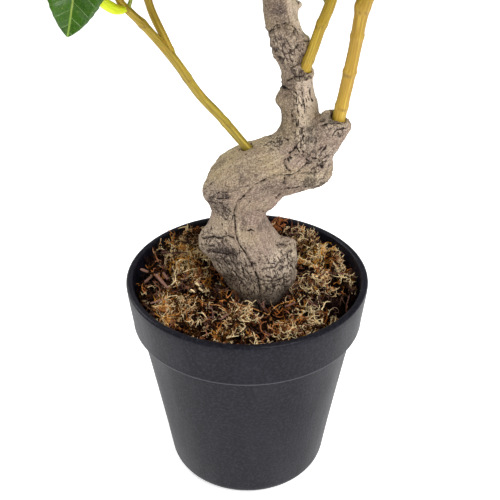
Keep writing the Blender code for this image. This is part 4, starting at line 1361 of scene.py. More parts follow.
class LEMONTREE_OT_trunk(bpy.types.Operator):
    """Carve the moulded trunk: ridged bark, painted cracks, rings, knots and hollows"""

    bl_idname = "lemon_tree.trunk"
    bl_label = "Trunk"

    def execute(self, context):
        settings = context.scene.tree_trunk
        trunk = merged_copy("trunk")
        add_modifier(trunk, "REMESH", mode="VOXEL", voxel_size=FINE_VOXEL * MM)
        add_modifier(trunk, "SMOOTH", factor=0.6, iterations=14)
        skin = BVHTree.FromObject(trunk, context.evaluated_depsgraph_get())
        routes = [crack_route(skin, points) for _half, _depth, *points in CRACKS]
        places = vertex_places(trunk.data)
        near = np.min([route_distance(places, route) for route in routes], axis=0) < NEAR_CRACK
        self.refine(trunk, near)
        normals = vectors(trunk.data.vertex_normals, "vector")
        bark = Bark(vertex_places(trunk.data), normals, settings.relief / MM)
        bark.cut_cracks(routes)
        bark.sink_hollows(skin)
        bark.raise_knobs()
        bark.raise_rings()
        bark.crackle()
        bark.shade_facets()
        bark.tint_patches()
        bark.put_on(trunk.data)
        trunk.data.shade_smooth()
        finish_piece(trunk, "moulded_trunk", bark_paint(settings), ("trunk",))
        return {"FINISHED"}

    def refine(self, trunk, chosen):
        """Subdivide the faces whose corners are chosen."""
        pick(trunk)
        with edit_mode():
            bpy.ops.mesh.select_mode(type="VERT")
            bpy.ops.mesh.select_all(action="DESELECT")
        trunk.data.vertices.foreach_set("select", chosen)
        with edit_mode():
            bpy.ops.mesh.select_mode(type="FACE")
            bpy.ops.mesh.subdivide(number_cuts=1)
            bpy.ops.mesh.select_all(action="SELECT")
            bpy.ops.mesh.quads_convert_to_tris()


# ---------------------------------------------------------------- stems
# each stem's lines, the main one first: (x, y, z, r) points from the foot to the end
STEMS = {
    "stem_left": (
        (
            (5.4, -8.6, 209.4, 2.4), (-0.4, -9, 216.9, 2.4), (-13.6, -10.5, 234.4, 2.4),
            (-24.1, -12, 247.4, 2.35), (-35.6, -13, 265.6, 2.4), (-48.5, -13, 281.6, 2.05),
            (-54.6, -13, 288, 2.0), (-59.6, -13, 294, 1.9), (-63.5, -13.5, 308, 1.8),
            (-66, -16, 326, 1.7), (-72, -22, 346, 1.5), (-82, -30, 362, 1.2),
        ),
        (
            (-35.6, -13, 265.6, 2.0), (-39.6, -10.5, 274.8, 2.0), (-46.2, -5, 288, 2.0),
            (-50, -3, 305, 1.8), (-57, 8, 326, 1.6), (-70, 22, 344, 1.3),
        ),
    ),
    "stem_middle": (
        (
            (28.3, 0.8, 250, 2.8), (29.8, -3.4, 258.7, 2.85), (32.6, -6, 268, 2.8),
            (35.9, -6.2, 279, 2.75), (40.2, -6, 291, 2.8), (43.4, -4, 305, 2.5), (47, 3, 322, 2.2),
            (50, 16, 340, 1.8), (56, 32, 358, 1.4),
        ),
    ),
    "stem_right": (
        (
            (45.4, -12.3, 227, 3.3), (47.2, -13, 238, 3.4), (50, -13, 255, 3.3),
            (52.4, -13, 271, 3.2), (54.2, -13, 286, 3.4), (55.8, -13, 294, 3.8),
            (63, -13, 306, 2.6), (76, -12, 326, 2.2), (92, -12, 344, 1.8), (108, -14, 358, 1.4),
        ),
        ((55.6, -13, 292, 2.5), (57.5, -17, 308, 2.3), (62, -28, 330, 2.0), (70, -44, 350, 1.5)),
    ),
    "stem_crown_left": (
        (
            (8.5, -1, 330, 2.4), (1, -3, 337, 2.5), (-14, -5, 352, 2.4),
            (-34, -2, 370, 2.2), (-58, 4, 388, 1.9), (-84, 12, 402, 1.5),
        ),
        ((-34, -2, 370, 1.9), (-40, 16, 384, 1.8), (-44, 40, 398, 1.4)),
    ),
    "stem_crown_back": (
        (
            (10, 2, 316, 2.5), (11, 9, 321.5, 2.6), (13, 28, 336, 2.5),
            (12, 54, 354, 2.2), (8, 82, 370, 1.9), (4, 110, 380, 1.5),
        ),
        ((12, 54, 354, 1.9), (32, 66, 366, 1.7), (56, 80, 376, 1.4)),
    ),
    "stem_crown_front": (
        (
            (7.4, 1, 350, 2.4), (6.5, -6.5, 356.5, 2.5), (4, -22, 370, 2.4),
            (0, -46, 386, 2.1), (-4, -74, 398, 1.8), (-8, -100, 404, 1.4),
        ),
        ((0, -46, 386, 1.8), (-20, -56, 398, 1.7), (-42, -70, 408, 1.4)),
    ),
    "stem_crown_right": (
        (
            (8, 2, 338, 2.4), (15.5, 3.5, 344, 2.5), (32, 8, 358, 2.4),
            (54, 10, 376, 2.1), (80, 8, 392, 1.8), (104, 2, 402, 1.4),
        ),
        ((54, 10, 376, 1.8), (66, -8, 392, 1.7), (78, -30, 406, 1.4)),
    ),
    "stem_crown_top": (
        (
            (8, 3, 361, 2.6), (8, 3.5, 374, 2.6), (5, 6, 396, 2.5),
            (-2, 8, 422, 2.2), (-5, 6, 446, 1.8), (-2, 2, 468, 1.4),
        ),
        ((3, 6.6, 404, 1.9), (20, 14, 420, 1.8), (38, 26, 436, 1.4)),
        ((-3, 8, 428, 1.8), (-22, 2, 440, 1.7), (-42, -8, 452, 1.4)),
    ),
}
STEM_STEP = 1.3
STEM_FACES = 6  # bevel resolution, for 16 sides
NODE_SPACING = 27.0  # between the nodes where leaves once stood
RINGS_TOP = 296.0  # the stems' own rings are all below this height; nodes follow above it
STEM_STREAKS = 8.0  # how many times longer than wide a stem's streaks are
TWIG_SHIFT = 30  # keeps each twig's streaks apart from its stem's
TWIG_TONE = 0.8  # a twig's tone, as a share of the way from its stem's foot tone to its end tone
# how green (0), yellow (0.35) or amber (0.7) each stem is, at its foot and at its end
STEM_TONES = {
    "stem_left": (0.0, 0.5),
    "stem_middle": (0.38, 0.3),
    "stem_right": (0.72, 0.6),
    "stem_crown_left": (0.15, 0.4),
    "stem_crown_back": (0.3, 0.2),
    "stem_crown_front": (0.45, 0.3),
    "stem_crown_right": (0.5, 0.35),
    "stem_crown_top": (0.1, 0.3),
}
FRESH = 1.0  # the tone of a young bud
# collars, rings and knobs seen on the stems: stem, height of the middle, half length, swelling
STEM_RINGS = (
    ("stem_left", 283.0, 1.6, 0.45),
    ("stem_left", 231.0, 1.2, 0.25),
    ("stem_left", 256.0, 1.4, 0.22),
    ("stem_middle", 254.5, 2.6, 0.75),
    ("stem_middle", 262.5, 1.0, 0.3),
    ("stem_middle", 281.0, 1.4, 0.35),
    ("stem_right", 230.5, 2.2, 0.5),
    ("stem_right", 241.0, 1.0, 0.3),
    ("stem_right", 259.0, 1.3, 0.45),
    ("stem_right", 277.0, 1.2, 0.5),
    ("stem_right", 291.0, 2.4, 0.4),
)
BUD_STEM = "stem_left"
BUD = (
    (-58.0, -14.5, 290.0, 1.8), (-61.5, -16.5, 291.0, 2.5), (-65.0, -18.0, 293.5, 2.6),
    (-69.0, -18.5, 296.5, 2.0), (-73.0, -18.5, 299.5, 1.2),
)


class StemSettings(bpy.types.PropertyGroup):
    green: colour_choice("Olive", "The greenest stems", 156, 138, 42)
    yellow: colour_choice("Yellow", "Ochre yellow stems", 174, 144, 34)
    amber: colour_choice("Amber", "The warmest stems", 182, 144, 47)
    bud: colour_choice("Bud", "Young shoots", 222, 238, 16)


def stem_skin(settings):
    material, tree, shader = new_material("Stem_skin", 0.5, 0.45)
    grain = attribute(tree, "grain", "Vector")
    tone = attribute(tree, "tone")
    stops = ((0.0, settings.green), (0.35, settings.yellow), (0.7, settings.amber), (FRESH, settings.bud))
    tint = ramp(tree, tone, *stops)
    streaks = cloud(tree, stretched(tree, grain, (1.6, 1.6, 0.4)), 0.9, 3, 0.6)
    stripes = times(tree, span(tree, streaks, 0.5, 0.6), span(tree, tone, 0.3, 0.7, 0.45, 0.2))
    tint = mix(tree, stripes, tint, linear(150, 112, 30), "MULTIPLY")
    blots = cloud(tree, object_place(tree), 160, 3)
    lighter = (streaks, (0.36, 0.46, 0.3, 0.0), 240, 206, 92)
    tint = coats(tree, tint, lighter, (blots, (0.6, 0.7, 0.0, 0.45), 196, 140, 40))
    tint = mix(tree, attribute(tree, "ring"), tint, linear(112, 80, 28))
    grooves = cloud(tree, stretched(tree, grain, (1, 1, 0.5)), 1.1, 3, 0.5)
    pores = cloud(tree, object_place(tree), 900, 2)
    relief = plus(tree, grooves, times(tree, pores, 0.25))
    finish_shader(tree, shader, tint, (relief, 0.45, 0.8), span(tree, blots, 0.3, 0.7, 0.42, 0.6))
    return material


def rod(name, line, sides=STEM_FACES):
    """A closed round rod along (x, y, z, r) points, as an object."""
    curve = bpy.data.curves.new(name, "CURVE")
    curve.dimensions = "3D"
    curve.bevel_depth = MM
    curve.bevel_resolution = sides
    curve.use_fill_caps = True
    spline = curve.splines.new("POLY")
    spline.points.add(len(line) - 1)
    for point, place in zip(spline.points, line):
        point.co = (*(place.xyz * MM), 1)
        point.radius = place.w
    pick(new_object(name, curve))
    bpy.ops.object.convert(target="MESH")
    item = bpy.context.object
    weld(item.data, 0.01)
    return item


def swollen(stem, number, points):
    """A line's fine points with its rings, nodes and slight unevenness worked into the radius."""
    line = smooth_line(points, STEM_STEP)
    length = 0.0
    rings = [(level, half, rise) for name, level, half, rise in STEM_RINGS if name == stem]
    for k, point in enumerate(line):
        length += (point.xyz - line[k - 1].xyz).length if k else 0.0
        share = k / (len(line) - 1)
        point.w *= 1 + 0.05 * noise.noise(Vector((length * 0.12, number * 7, len(stem) * 3)))
        if number or not rings or point.z > RINGS_TOP:
            beyond = (length + 9 * number) % NODE_SPACING - NODE_SPACING / 2
            point.w += 0.3 * bell(beyond, 1.2) * (1 - 0.5 * share)
        else:
            for level, half, rise in rings:
                point.w += rise * bell(point.z - level, half)
        if share > 0.97:
            point.w *= 0.8
    return line


def near_line(places, line):
    """For each place, its distance from the line in radii and its share of the line's length."""
    spine = np.array([p.xyz for p in line])
    radii = np.array([p.w for p in line])
    away = np.linalg.norm(places[:, None, :] - spine[None, :, :], axis=2) / radii[None, :]
    best = np.argmin(away, axis=1)
    return away[np.arange(len(places)), best], best / (len(line) - 1)


def stem_mesh(stem, fine):
    """The stem's lines as rods, united to one solid."""
    item = rod(stem, fine[0])
    for line in fine[1:]:
        twig = rod(stem + "_twig", line)
        add_modifier(item, "BOOLEAN", operation="UNION", object=twig, solver="EXACT")
        bpy.data.objects.remove(twig)
    return item


def stem_looks(stem, places, fine):
    """Grain and tone of each place by the line that it is nearest to, and the rings' dark marks."""
    reaches = [near_line(places, line) for line in fine]
    own = np.argmin([reach[0] for reach in reaches], axis=0)
    grain, tone, ring = np.zeros((len(places), 3)), np.zeros(len(places)), np.zeros(len(places))
    foot, end = STEM_TONES[stem]
    for number, line in enumerate(fine):
        mine = own == number
        grain[mine] = grain_of(places[mine], line, STEM_STREAKS) + TWIG_SHIFT * number
        tone[mine] = foot + (end - foot) * (TWIG_TONE if number else reaches[0][1][mine])
    if stem == BUD_STEM:
        tone[own == len(fine) - 1] = FRESH
    marked = (own == 0) * (unevenness(places, 0.9) > -0.1)
    for name, level, half, _rise in STEM_RINGS:
        if name == stem:
            ring = np.maximum(ring, 0.7 * bell(places[:, 2] - level + 0.8 * half, 0.35) * marked)
    return {"grain": grain, "tone": tone, "ring": ring}


class LEMONTREE_OT_stems(bpy.types.Operator):
    """Draw the yellow stems with their nodes, rings, twigs and buds"""

    bl_idname = "lemon_tree.stems"
    bl_label = "Stems"

    def execute(self, context):
        settings = context.scene.tree_stems
        skin = stem_skin(settings)
        for stem, lines in STEMS.items():
            fine = [swollen(stem, number, points) for number, points in enumerate(lines)]
            if stem == BUD_STEM:
                fine.append(smooth_line(BUD, STEM_STEP))
            item = stem_mesh(stem, fine)
            point_attributes(item.data, **stem_looks(stem, vertex_places(item.data), fine))
            smooth(item, 50)
            finish_piece(item, "yellow_" + stem, skin, (stem,))
        return {"FINISHED"}


# ---------------------------------------------------------------- leaves
LEAF_SIZES = ((66, 31), (74, 34), (58, 28))  # length with the stalk, width
LEAF_DROOPS = (34, 48, 26)  # degrees that the midrib bends over its length
LOW_LEAF = ((62, 28), 20)
LEAF_COUNT = 42
LEAF_STALK = 10.0
STALK_LOOK = (30.0, 0.0, 1.0)  # its place on the midrib's underside: along, across, under
LEAF_FOLD = 0.22  # rise of the blade's sides for each unit away from the midrib
BLADE_FULLNESS = 0.8
BLADE_LEAN = (1.12, 0.24)
BLADE_THICKNESS = 0.55
CAD_STATIONS = (0.14, 0.32, 0.52, 0.72, 0.89, 1.0)  # of the plain leaves, along the blade
MORE_LEAVES = 9  # extra leaves that each line of a stem may bear
BARE_SHARES = {"stem_left": 0.42, "stem_right": 0.42}  # of a stem's length, where it is more than 0.25
SKIRT = (297.0, 0.286)  # nothing hangs below this line: its height, and its fall to the back
LEAF_GAP = 4.5  # from an extra leaf's points to the others'
BOX_MARGIN = 1.5  # from an extra leaf's points to the sides of the frame's box


class LeafSettings(bpy.types.PropertyGroup):
    dark: colour_choice("Dark green", "The blade's deeper patches", 24, 62, 3)
    green: colour_choice("Green", "The blade's main colour", 52, 96, 6)
    vein: colour_choice("Vein", "Midrib and side veins", 132, 164, 66)
    under: colour_choice("Underside", "The paler lower side", 112, 140, 72)
    more: bpy.props.IntProperty(
        name="More leaves", description="How many extra leaves fill the crown at most", default=84
    )


def leaf_veins(tree, along, across, aside):
    """How near each place is to a side vein, of 0 at one to 0.5 between two."""
    swept = times(tree, times(tree, aside, aside), 0.012)
    bent = plus(tree, times(tree, aside, 0.62), swept)
    half = times(tree, maths(tree, "SIGN", across), 1.6)
    way = maths(tree, "SUBTRACT", plus(tree, along, half), bent)
    return maths(tree, "PINGPONG", maths(tree, "DIVIDE", way, 6.4), 0.5)


def leaf_skin(settings):
    """Glossy leaf; its attribute holds the length along the blade, the way across and the side."""
    material, tree, shader = new_material("Leaf_skin", 0.3, 0.5)
    blade = attribute(tree, "blade", "Vector")
    along, across, under = parts(tree, blade)
    aside = maths(tree, "ABSOLUTE", across)
    phase = leaf_veins(tree, along, across, aside)
    veins = span(tree, phase, 0.0, 0.04, 1.0, 0.0)
    midrib = span(tree, aside, 0.3, 0.65, 0.9, 0.0)
    fade = span(tree, aside, 1.5, 12.0, 0.45, 0.08)
    lines = maths(tree, "MAXIMUM", times(tree, veins, fade), midrib)
    place = object_place(tree)
    patches = cloud(tree, place, 55, 3)
    tint = mix(tree, span(tree, patches, 0.35, 0.65), settings.dark, settings.green)
    net = cells(tree, blade, 0.7, "DISTANCE_TO_EDGE")
    tint = mix(tree, span(tree, net, 0.0, 0.12, 0.16, 0.0), tint, settings.vein)
    tint = mix(tree, lines, tint, settings.vein)
    below = mix(tree, times(tree, lines, 0.6), settings.under, settings.vein)
    tint = mix(tree, under, tint, below)
    speck = cloud(tree, place, 420, 3)
    tint = coats(tree, tint, (speck, (0.68, 0.76, 0.0, 0.3), 146, 150, 70))
    tint = mix(tree, attribute(tree, "stalk"), tint, linear(150, 160, 66))
    relief = maths(tree, "SUBTRACT", phase, lines)
    relief = plus(tree, relief, times(tree, cloud(tree, place, 300, 2), 0.35))
    finish_shader(tree, shader, tint, (relief, 0.5, 0.6), span(tree, under, 0.0, 1.0, 0.3, 0.6))
    return material


def blade_width(width, share):
    """Half the blade's width at a share of its length."""
    lean = BLADE_LEAN[0] - BLADE_LEAN[1] * share
    return width / 2 * np.maximum(4 * share * (1 - share), 0) ** BLADE_FULLNESS * lean


def bent_leaf(along, across, rise, length, droop):
    """Where a flat leaf's points go when its midrib droops; rise is square to the midrib."""
    rate = math.radians(droop) / length
    sine, cosine = np.sin(rate * along), np.cos(rate * along)
    return np.stack((sine / rate + rise * sine, across, (cosine - 1) / rate + rise * cosine), axis=1)


def plain_leaf(length, width, droop):
    """The sheet points of the plain leaf that stands in the frame."""
    share = np.array((-1, 0, *CAD_STATIONS))
    along = np.where(share < 0, 0, LEAF_STALK + share * (length - LEAF_STALK))
    half = np.maximum(blade_width(width, share), 1.1 * (1 - 0.5 * np.maximum(share, 0)))
    along, half, share = (np.repeat(values, 3) for values in (along, half, share))
    across = half * np.tile((-1, 0, 1), len(CAD_STATIONS) + 2)
    rise = np.where(share > 0, LEAF_FOLD * np.abs(across), 0)
    return bent_leaf(along, across, rise, length, droop)


def axes_of(places):
    """Middle and main axes of a cloud of points, the longest axis first."""
    middle = places.mean(0)
    _values, axes = np.linalg.eigh(np.cov((places - middle).T))
    axes = axes[:, ::-1]
    axes[:, 2] = np.cross(axes[:, 0], axes[:, 1])
    return middle, axes


def leaf_pose(node, length, width, droop):
    """The matrix that lays the plain leaf's points on a leaf of the frame."""
    copy = merged_copy(node)
    real = vertex_places(copy.data)
    bpy.data.objects.remove(copy)
    plain = plain_leaf(length, width, droop)
    plain_middle, plain_axes = axes_of(plain)
    middle, axes = axes_of(real)
    best = None
    for flips in ((1, 1, 1), (1, -1, -1), (-1, 1, -1), (-1, -1, 1)):
        turn = axes @ np.diag(flips) @ plain_axes.T
        laid = (plain - plain_middle) @ turn.T + middle
        miss = np.linalg.norm(laid[:, None] - real[None], axis=2).min(1).sum()
        if best is None or miss < best[0]:
            best = miss, turn, middle - turn @ plain_middle
    pose = Matrix(best[1].tolist()).to_4x4()
    pose.translation = Vector(best[2])
    return pose


def leaf_blade(length, width, droop, fine, chance):
    """A thin wavy blade that is folded along its midrib and has a finely notched edge."""
    rows, columns = fine
    deselect()
    bpy.ops.mesh.primitive_grid_add(x_subdivisions=rows, y_subdivisions=columns, size=2)
    blade = bpy.context.object
    onwards, sideways, _up = vectors(blade.data.vertices, "co").T
    share = 0.5 - 0.5 * np.cos(math.pi * (onwards + 1) / 2)
    way = sideways * (0.55 + 0.45 * np.abs(sideways))
    along = share * (length - LEAF_STALK)
    half = np.maximum(blade_width(width, share), 0.35)
    notch = 0.018 * np.sin(share * 95 + chance.uniform(0, 6)) * (np.abs(sideways) > 0.99)
    across = half * way * (1 + notch)
    phase, waves = chance.uniform(0, 6.3), chance.uniform(2.2, 3.4)
    wave = np.sin(2 * math.pi * waves * share + phase + 1.4 * np.sign(way)) * way**2 * share**0.3
    cup = LEAF_FOLD * np.abs(across) - 0.004 * across**2
    groove = -0.45 * bell(across, 1.1) * (1 - share)
    rise = cup + groove + 0.055 * half * wave + chance.uniform(-0.04, 0.04) * across * share
    curl = chance.uniform(-0.6, 1.2) * np.maximum(share - 0.7, 0) ** 2 * 30
    move_vertices(blade.data, bent_leaf(LEAF_STALK + along, across, rise - curl, length, droop))
    add_modifier(blade, "SOLIDIFY", thickness=BLADE_THICKNESS * MM, offset=-1)
    under = np.repeat((0.0, 1.0), len(share))
    look = np.column_stack((np.tile(along, 2), np.tile(across, 2), under))
    point_attributes(blade.data, blade=look, stalk=np.zeros(len(look)))
    return blade


def leaf_stalk(name, length, droop):
    """The stalk, which runs on under the blade as its midrib."""
    stem = [Vector((-2.4, 0, 0, 1.5)), Vector((-0.6, 0, 0, 1.35)), Vector((1.2, 0, 0, 1.05))]
    lengths = np.linspace(3.2, 0.86 * length, 12)
    below = bent_leaf(lengths, 0 * lengths, -0.5 + 0 * lengths, length, droop)
    for x, place in zip(lengths, below):
        radius = 1.0 - 0.72 * max(0.0, x - LEAF_STALK) / (length - LEAF_STALK)
        radius += 0.3 * bell(x - LEAF_STALK + 1, 1.6)
        stem.append(Vector((*place, radius)))
    stalk = rod(name + "_stalk", stem, 2)
    count = len(stalk.data.vertices)
    point_attributes(stalk.data, blade=np.tile(STALK_LOOK, (count, 1)), stalk=np.ones(count))
    return stalk


def leaf_object(name, length, width, droop, pose, fine, chance):
    """One leaf, laid in its pose and kept inside the frame's box."""
    blade = leaf_blade(length, width, droop, fine, chance)
    join_items([blade, leaf_stalk(name, length, droop)])
    blade.data.transform(Matrix.Scale(MM, 4) @ pose @ Matrix.Scale(1 / MM, 4))
    low, high = (np.array(corner) / MM for corner in CAD_BOX)
    move_vertices(blade.data, np.clip(vertex_places(blade.data), low, high))
    return blade


def leaf_room(pose, length, width, droop, spare=2.0):
    """A few points all over a leaf, to see whether it has room."""
    share = np.repeat(np.linspace(0.04, 1.0, 9), 5)
    way = np.tile(np.linspace(-1, 1, 5), 9)
    along = LEAF_STALK + share * (length - LEAF_STALK)
    across = (blade_width(width, share) + spare * (share < 1)) * way
    points = bent_leaf(along, across, LEAF_FOLD * np.abs(across), length, droop)
    return [pose @ Vector(point) for point in points]


def side_of(ahead, degrees):
    """A direction square to a line, turned round it from the side that looks up."""
    up = Vector((0, 0, 1)) if abs(ahead.z) < 0.9 else Vector((0, -1, 0))
    side = (up - up.dot(ahead) * ahead).normalized()
    return Matrix.Rotation(math.radians(degrees), 3, ahead) @ side


def leaf_matrix(foot, direction, upper):
    ahead = direction.normalized()
    across = upper.cross(ahead).normalized()
    made = Matrix((ahead, across, ahead.cross(across))).transposed().to_4x4()
    made.translation = foot
    return made


def poses_on(line, share, number):
    """Ways for an extra leaf to stand on a twig, to try one after another."""
    place, ahead, radius = point_along(line, share)
    outwards = Vector((place.x, place.y, 0)).normalized()
    for lift in (0.2, 0.7, -0.2):
        for turn in range(12):
            side = side_of(ahead, 137.5 * number + 30 * turn)
            direction = 0.7 * ahead + side + Vector((0, 0, lift))
            upper = Vector((0, 0, 1)) + 0.6 * outwards + 0.35 * side_of(ahead, 83 * number)
            yield leaf_matrix(place + side * (0.6 * radius), direction, upper)


class LEMONTREE_OT_leaves(bpy.types.Operator):
    """Form the leaves: wavy glossy blades on their stalks, and the crown's extra leaves"""

    bl_idname = "lemon_tree.leaves"
    bl_label = "Leaves"

    def execute(self, context):
        settings = context.scene.tree_leaves
        skin = leaf_skin(settings)
        chance = random.Random(7)
        fine = ((40, 12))
        taken = []
        for number in range(1, LEAF_COUNT + 1):
            node = f"leaf_{number:02d}"
            size, droop = LEAF_SIZES[number % 3], LEAF_DROOPS[number * 2 % 3]
            if number == 1:
                size, droop = LOW_LEAF
            pose = leaf_pose(node, *size, droop)
            leaf = leaf_object(node, *size, droop, pose, fine, chance)
            leaf.data.shade_smooth()
            finish_piece(leaf, f"glossy_{node}", skin, (node,))
            taken += leaf_room(pose, *size, droop, 0.0)
        self.more_leaves(settings, skin, chance, taken)
        return {"FINISHED"}

    def more_leaves(self, settings, skin, chance, taken):
        """Fill the crown between the leaves of the frame, on the same stems."""
        low, high = (Vector(corner) / MM for corner in CAD_BOX)
        spots = [
            (name, smooth_line(points, 3.0), share)
            for name, lines in STEMS.items()
            for points in lines
            for share in np.linspace(0.97, BARE_SHARES.get(name, 0.25), MORE_LEAVES)
        ]
        chance.shuffle(spots)
        made = {}
        left = settings.more
        for number, (name, line, share) in enumerate(spots):
            size = [value * chance.uniform(0.62, 0.92) for value in chance.choice(LEAF_SIZES)]
            droop = chance.uniform(20, 52)
            for pose in poses_on(line, share, number):
                room = leaf_room(pose, *size, droop)
                if self.has_room(room, taken, low, high):
                    break
            else:
                continue
            leaf = leaf_object("more", *size, droop, pose, (18, 8), chance)
            made.setdefault(name, []).append(leaf)
            taken += room
            left -= 1
            if left <= 0:
                break
        for name, leaves in made.items():
            joined = join_items(leaves)
            joined.data.shade_smooth()
            finish_piece(joined, "more_leaves_on_" + name, skin)

    def has_room(self, room, taken, low, high):
        for point in room:
            if any(point[k] < low[k] + BOX_MARGIN or point[k] > high[k] - BOX_MARGIN for k in range(3)):
                return False
            if point.z < SKIRT[0] - SKIRT[1] * point.y:
                return False
        near = np.linalg.norm(np.array(room)[:, None] - np.array(taken)[None], axis=2).min()
        return near > LEAF_GAP


# ---------------------------------------------------------------- lemons
LEMON_COUNT = 5
LEMON_STALK = 12.0
LEMON_RADIUS = 18.7
STALK_SUNK = 2.5  # depth of the stalk's foot under the fruit's top
STAR_LOBES = 5
STAR_RADIUS = 5.0
STAR_DEPTH = 0.9


class LemonSettings(bpy.types.PropertyGroup):
    peel: colour_choice("Peel", "The lemons' main colour", 248, 208, 32)
    shade: colour_choice("Shade", "The lemons' deeper patches", 232, 186, 18)


def peel(settings):
    material, tree, shader = new_material("Lemon_peel", 0.38, 0.5)
    place = object_place(tree)
    tint = mix(tree, span(tree, cloud(tree, place, 45, 3), 0.35, 0.65), settings.shade, settings.peel)
    ends = attribute(tree, "ends")
    tint = mix(tree, times(tree, ends, 0.55), tint, linear(188, 182, 30))
    tint = mix(tree, attribute(tree, "stalk"), tint, linear(122, 128, 48))
    pores = span(tree, cells(tree, place, 620), 0.1, 0.5)
    relief = plus(tree, pores, times(tree, cloud(tree, place, 150, 3), 0.8))
    finish_shader(tree, shader, tint, (relief, 0.35, 0.7))
    return material


def lemon_outline(half, rings):
    """Radius and height of the fruit's side from its shoulder to its tip, about its middle."""
    points = []
    for k in range(rings + 1):
        angle = math.pi * k / rings
        radius = LEMON_RADIUS * math.sin(angle) ** 0.85
        height = (half - 3) * math.cos(angle)
        if angle > math.pi / 2:
            nipple = 4.4 * math.exp(-(((angle - math.pi) / 0.42) ** 2))
            height -= 0.7 * nipple
            radius += 0.5 * nipple * (k < rings)
        else:
            shoulder = math.exp(-((angle / 0.3) ** 2))
            height += 1.8 * shoulder * (angle / 0.3 - 0.35)
            radius += 0.4 * shoulder * (k > 0)
        points.append((max(radius, 0.25), height))
    return points


def lemon_fruit(number, half, centre):
    """The fruit without its stalk, slightly uneven, about its centre."""
    sides, rings = ((56, 44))
    outline = lemon_outline(half, rings)
    radius, height = outline[0]
    deselect()
    bpy.ops.mesh.primitive_circle_add(vertices=sides, radius=radius * MM, fill_type="NGON")
    fruit = bpy.context.object
    with edit_mode():
        bpy.ops.transform.translate(value=(0, 0, height * MM))
        for (radius, height), (wider, lower) in zip(outline, outline[1:]):
            extrude((lower - height) * MM, wider / radius)
        close_outside()
    places = vertex_places(fruit.data)
    shift = Vector((number * 9, 0, 0))
    lumps = [noise.fractal(Vector(place) * 0.07 + shift, 1, 2, 2) for place in places]
    body = places * (1 + 0.022 * np.array(lumps))[:, None]
    move_vertices(fruit.data, body + np.array(centre))
    ends = np.clip((np.abs(places[:, 2]) / half) ** 6, 0, 1)
    point_attributes(fruit.data, ends=ends, stalk=np.zeros(len(places)))
    return fruit


def lemon_stalk(name, foot, top):
    """A stalk that swells at its foot and meets the twig at its top."""
    stem = [Vector((*foot, 3.4)), Vector((*(foot + Vector((0, 0, 1.6))), 2.6))]
    stem += [Vector((*(foot + Vector((0.3 * math.sin(k), 0, 3 + k))), 1.25)) for k in range(11)]
    stem += [Vector((foot.x, foot.y, top + 1.0, 1.5))]
    return rod(name + "_stalk", smooth_line(stem, 1.0), 3)


def lemon_star(name, place):
    """The lobed calyx between a lemon and its stalk."""
    deselect()
    bpy.ops.mesh.primitive_cylinder_add(vertices=40, radius=STAR_RADIUS * MM, depth=STAR_DEPTH * MM)
    star = bpy.context.object
    star.name = name + "_star"
    places = vertex_places(star.data)
    angle = np.arctan2(places[:, 1], places[:, 0])
    reach = 0.72 + 0.28 * np.cos(STAR_LOBES * angle)
    places[:, :2] *= reach[:, None]
    places[:, 2] -= STAR_DEPTH * (reach > 0.85)
    move_vertices(star.data, places + np.array(place))
    return star


class LEMONTREE_OT_lemons(bpy.types.Operator):
    """Turn the lemons, each with its tip, its dimpled peel, its star and its stalk"""

    bl_idname = "lemon_tree.lemons"
    bl_label = "Lemons"

    def execute(self, context):
        skin = peel(context.scene.tree_lemons)
        for number in range(1, LEMON_COUNT + 1):
            node = f"lemon_{number}"
            low, high = (Vector(corner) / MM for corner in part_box(node))
            half = (high.z - low.z - LEMON_STALK) / 2
            centre = Vector(((low.x + high.x) / 2, (low.y + high.y) / 2, 0))
            middle = low.z + half
            lemon = lemon_fruit(number, half, (*centre.xy, middle))
            foot = centre + Vector((0, 0, middle + half - STALK_SUNK))
            stalk = lemon_stalk(node, foot, high.z)
            star = lemon_star(node, foot + Vector((0, 0, 0.6)))
            for item in (stalk, star):
                count = len(item.data.vertices)
                point_attributes(item.data, ends=np.zeros(count), stalk=np.ones(count))
            join_items([lemon, stalk, star])
            smooth(lemon, 50)
            finish_piece(lemon, f"ripe_{node}", skin, (node,))
        return {"FINISHED"}


# ---------------------------------------------------------------- studio
CAMERA_PLACE = (0.00163, -0.42162, 0.41118)
CAMERA_PITCH = 57.997  # degrees up from straight down
FLOOR_HALF = 6.0  # metres
# softboxes: name, place, size, watts; each looks at the trunk
SOFTBOXES = (
    ("key", (0.45, -0.6, 0.85), 0.4, 7.0),
    ("left", (-0.45, -0.6, 0.9), 0.3, 1.2),
    ("fill", (-0.9, -0.5, 0.6), 0.7, 0.8),
    ("top", (0.1, 0.1, 1.4), 0.4, 7.0),
    ("back", (-0.62, 0.42, 0.64), 0.35, 3.0),
)
LIGHT_TARGET = Vector((0.0, 0.0, 0.16))


class StageSettings(bpy.types.PropertyGroup):
    lens: bpy.props.FloatProperty(
        name="Lens", description="Focal length in millimetres on a 36 mm sensor", default=62.61
    )
    surround: bpy.props.FloatProperty(
        name="Surround", description="Strength of the white studio round the tree", default=0.36
    )
    glow: bpy.props.FloatProperty(
        name="Glow", description="Light that the translucent sweep gives off itself", default=0.68
    )
    floor: bpy.props.FloatVectorProperty(
        name="Floor", description="Colour of the paper sweep", default=(0.93, 0.93, 0.93), subtype="COLOR"
    )


def paper(settings):
    material, tree, shader = new_material("Paper_sweep", 0.9, 0.1)
    fibres = cloud(tree, object_place(tree), 180, 3)
    shade = tuple(0.985 * channel for channel in settings.floor)
    tint = mix(tree, span(tree, fibres, 0.35, 0.65), shade, settings.floor)
    feed(tree, shader.inputs["Base Color"], tint)
    feed(tree, shader.inputs["Emission Color"], (1, 1, 1))
    feed(tree, shader.inputs["Emission Strength"], settings.glow)
    return material


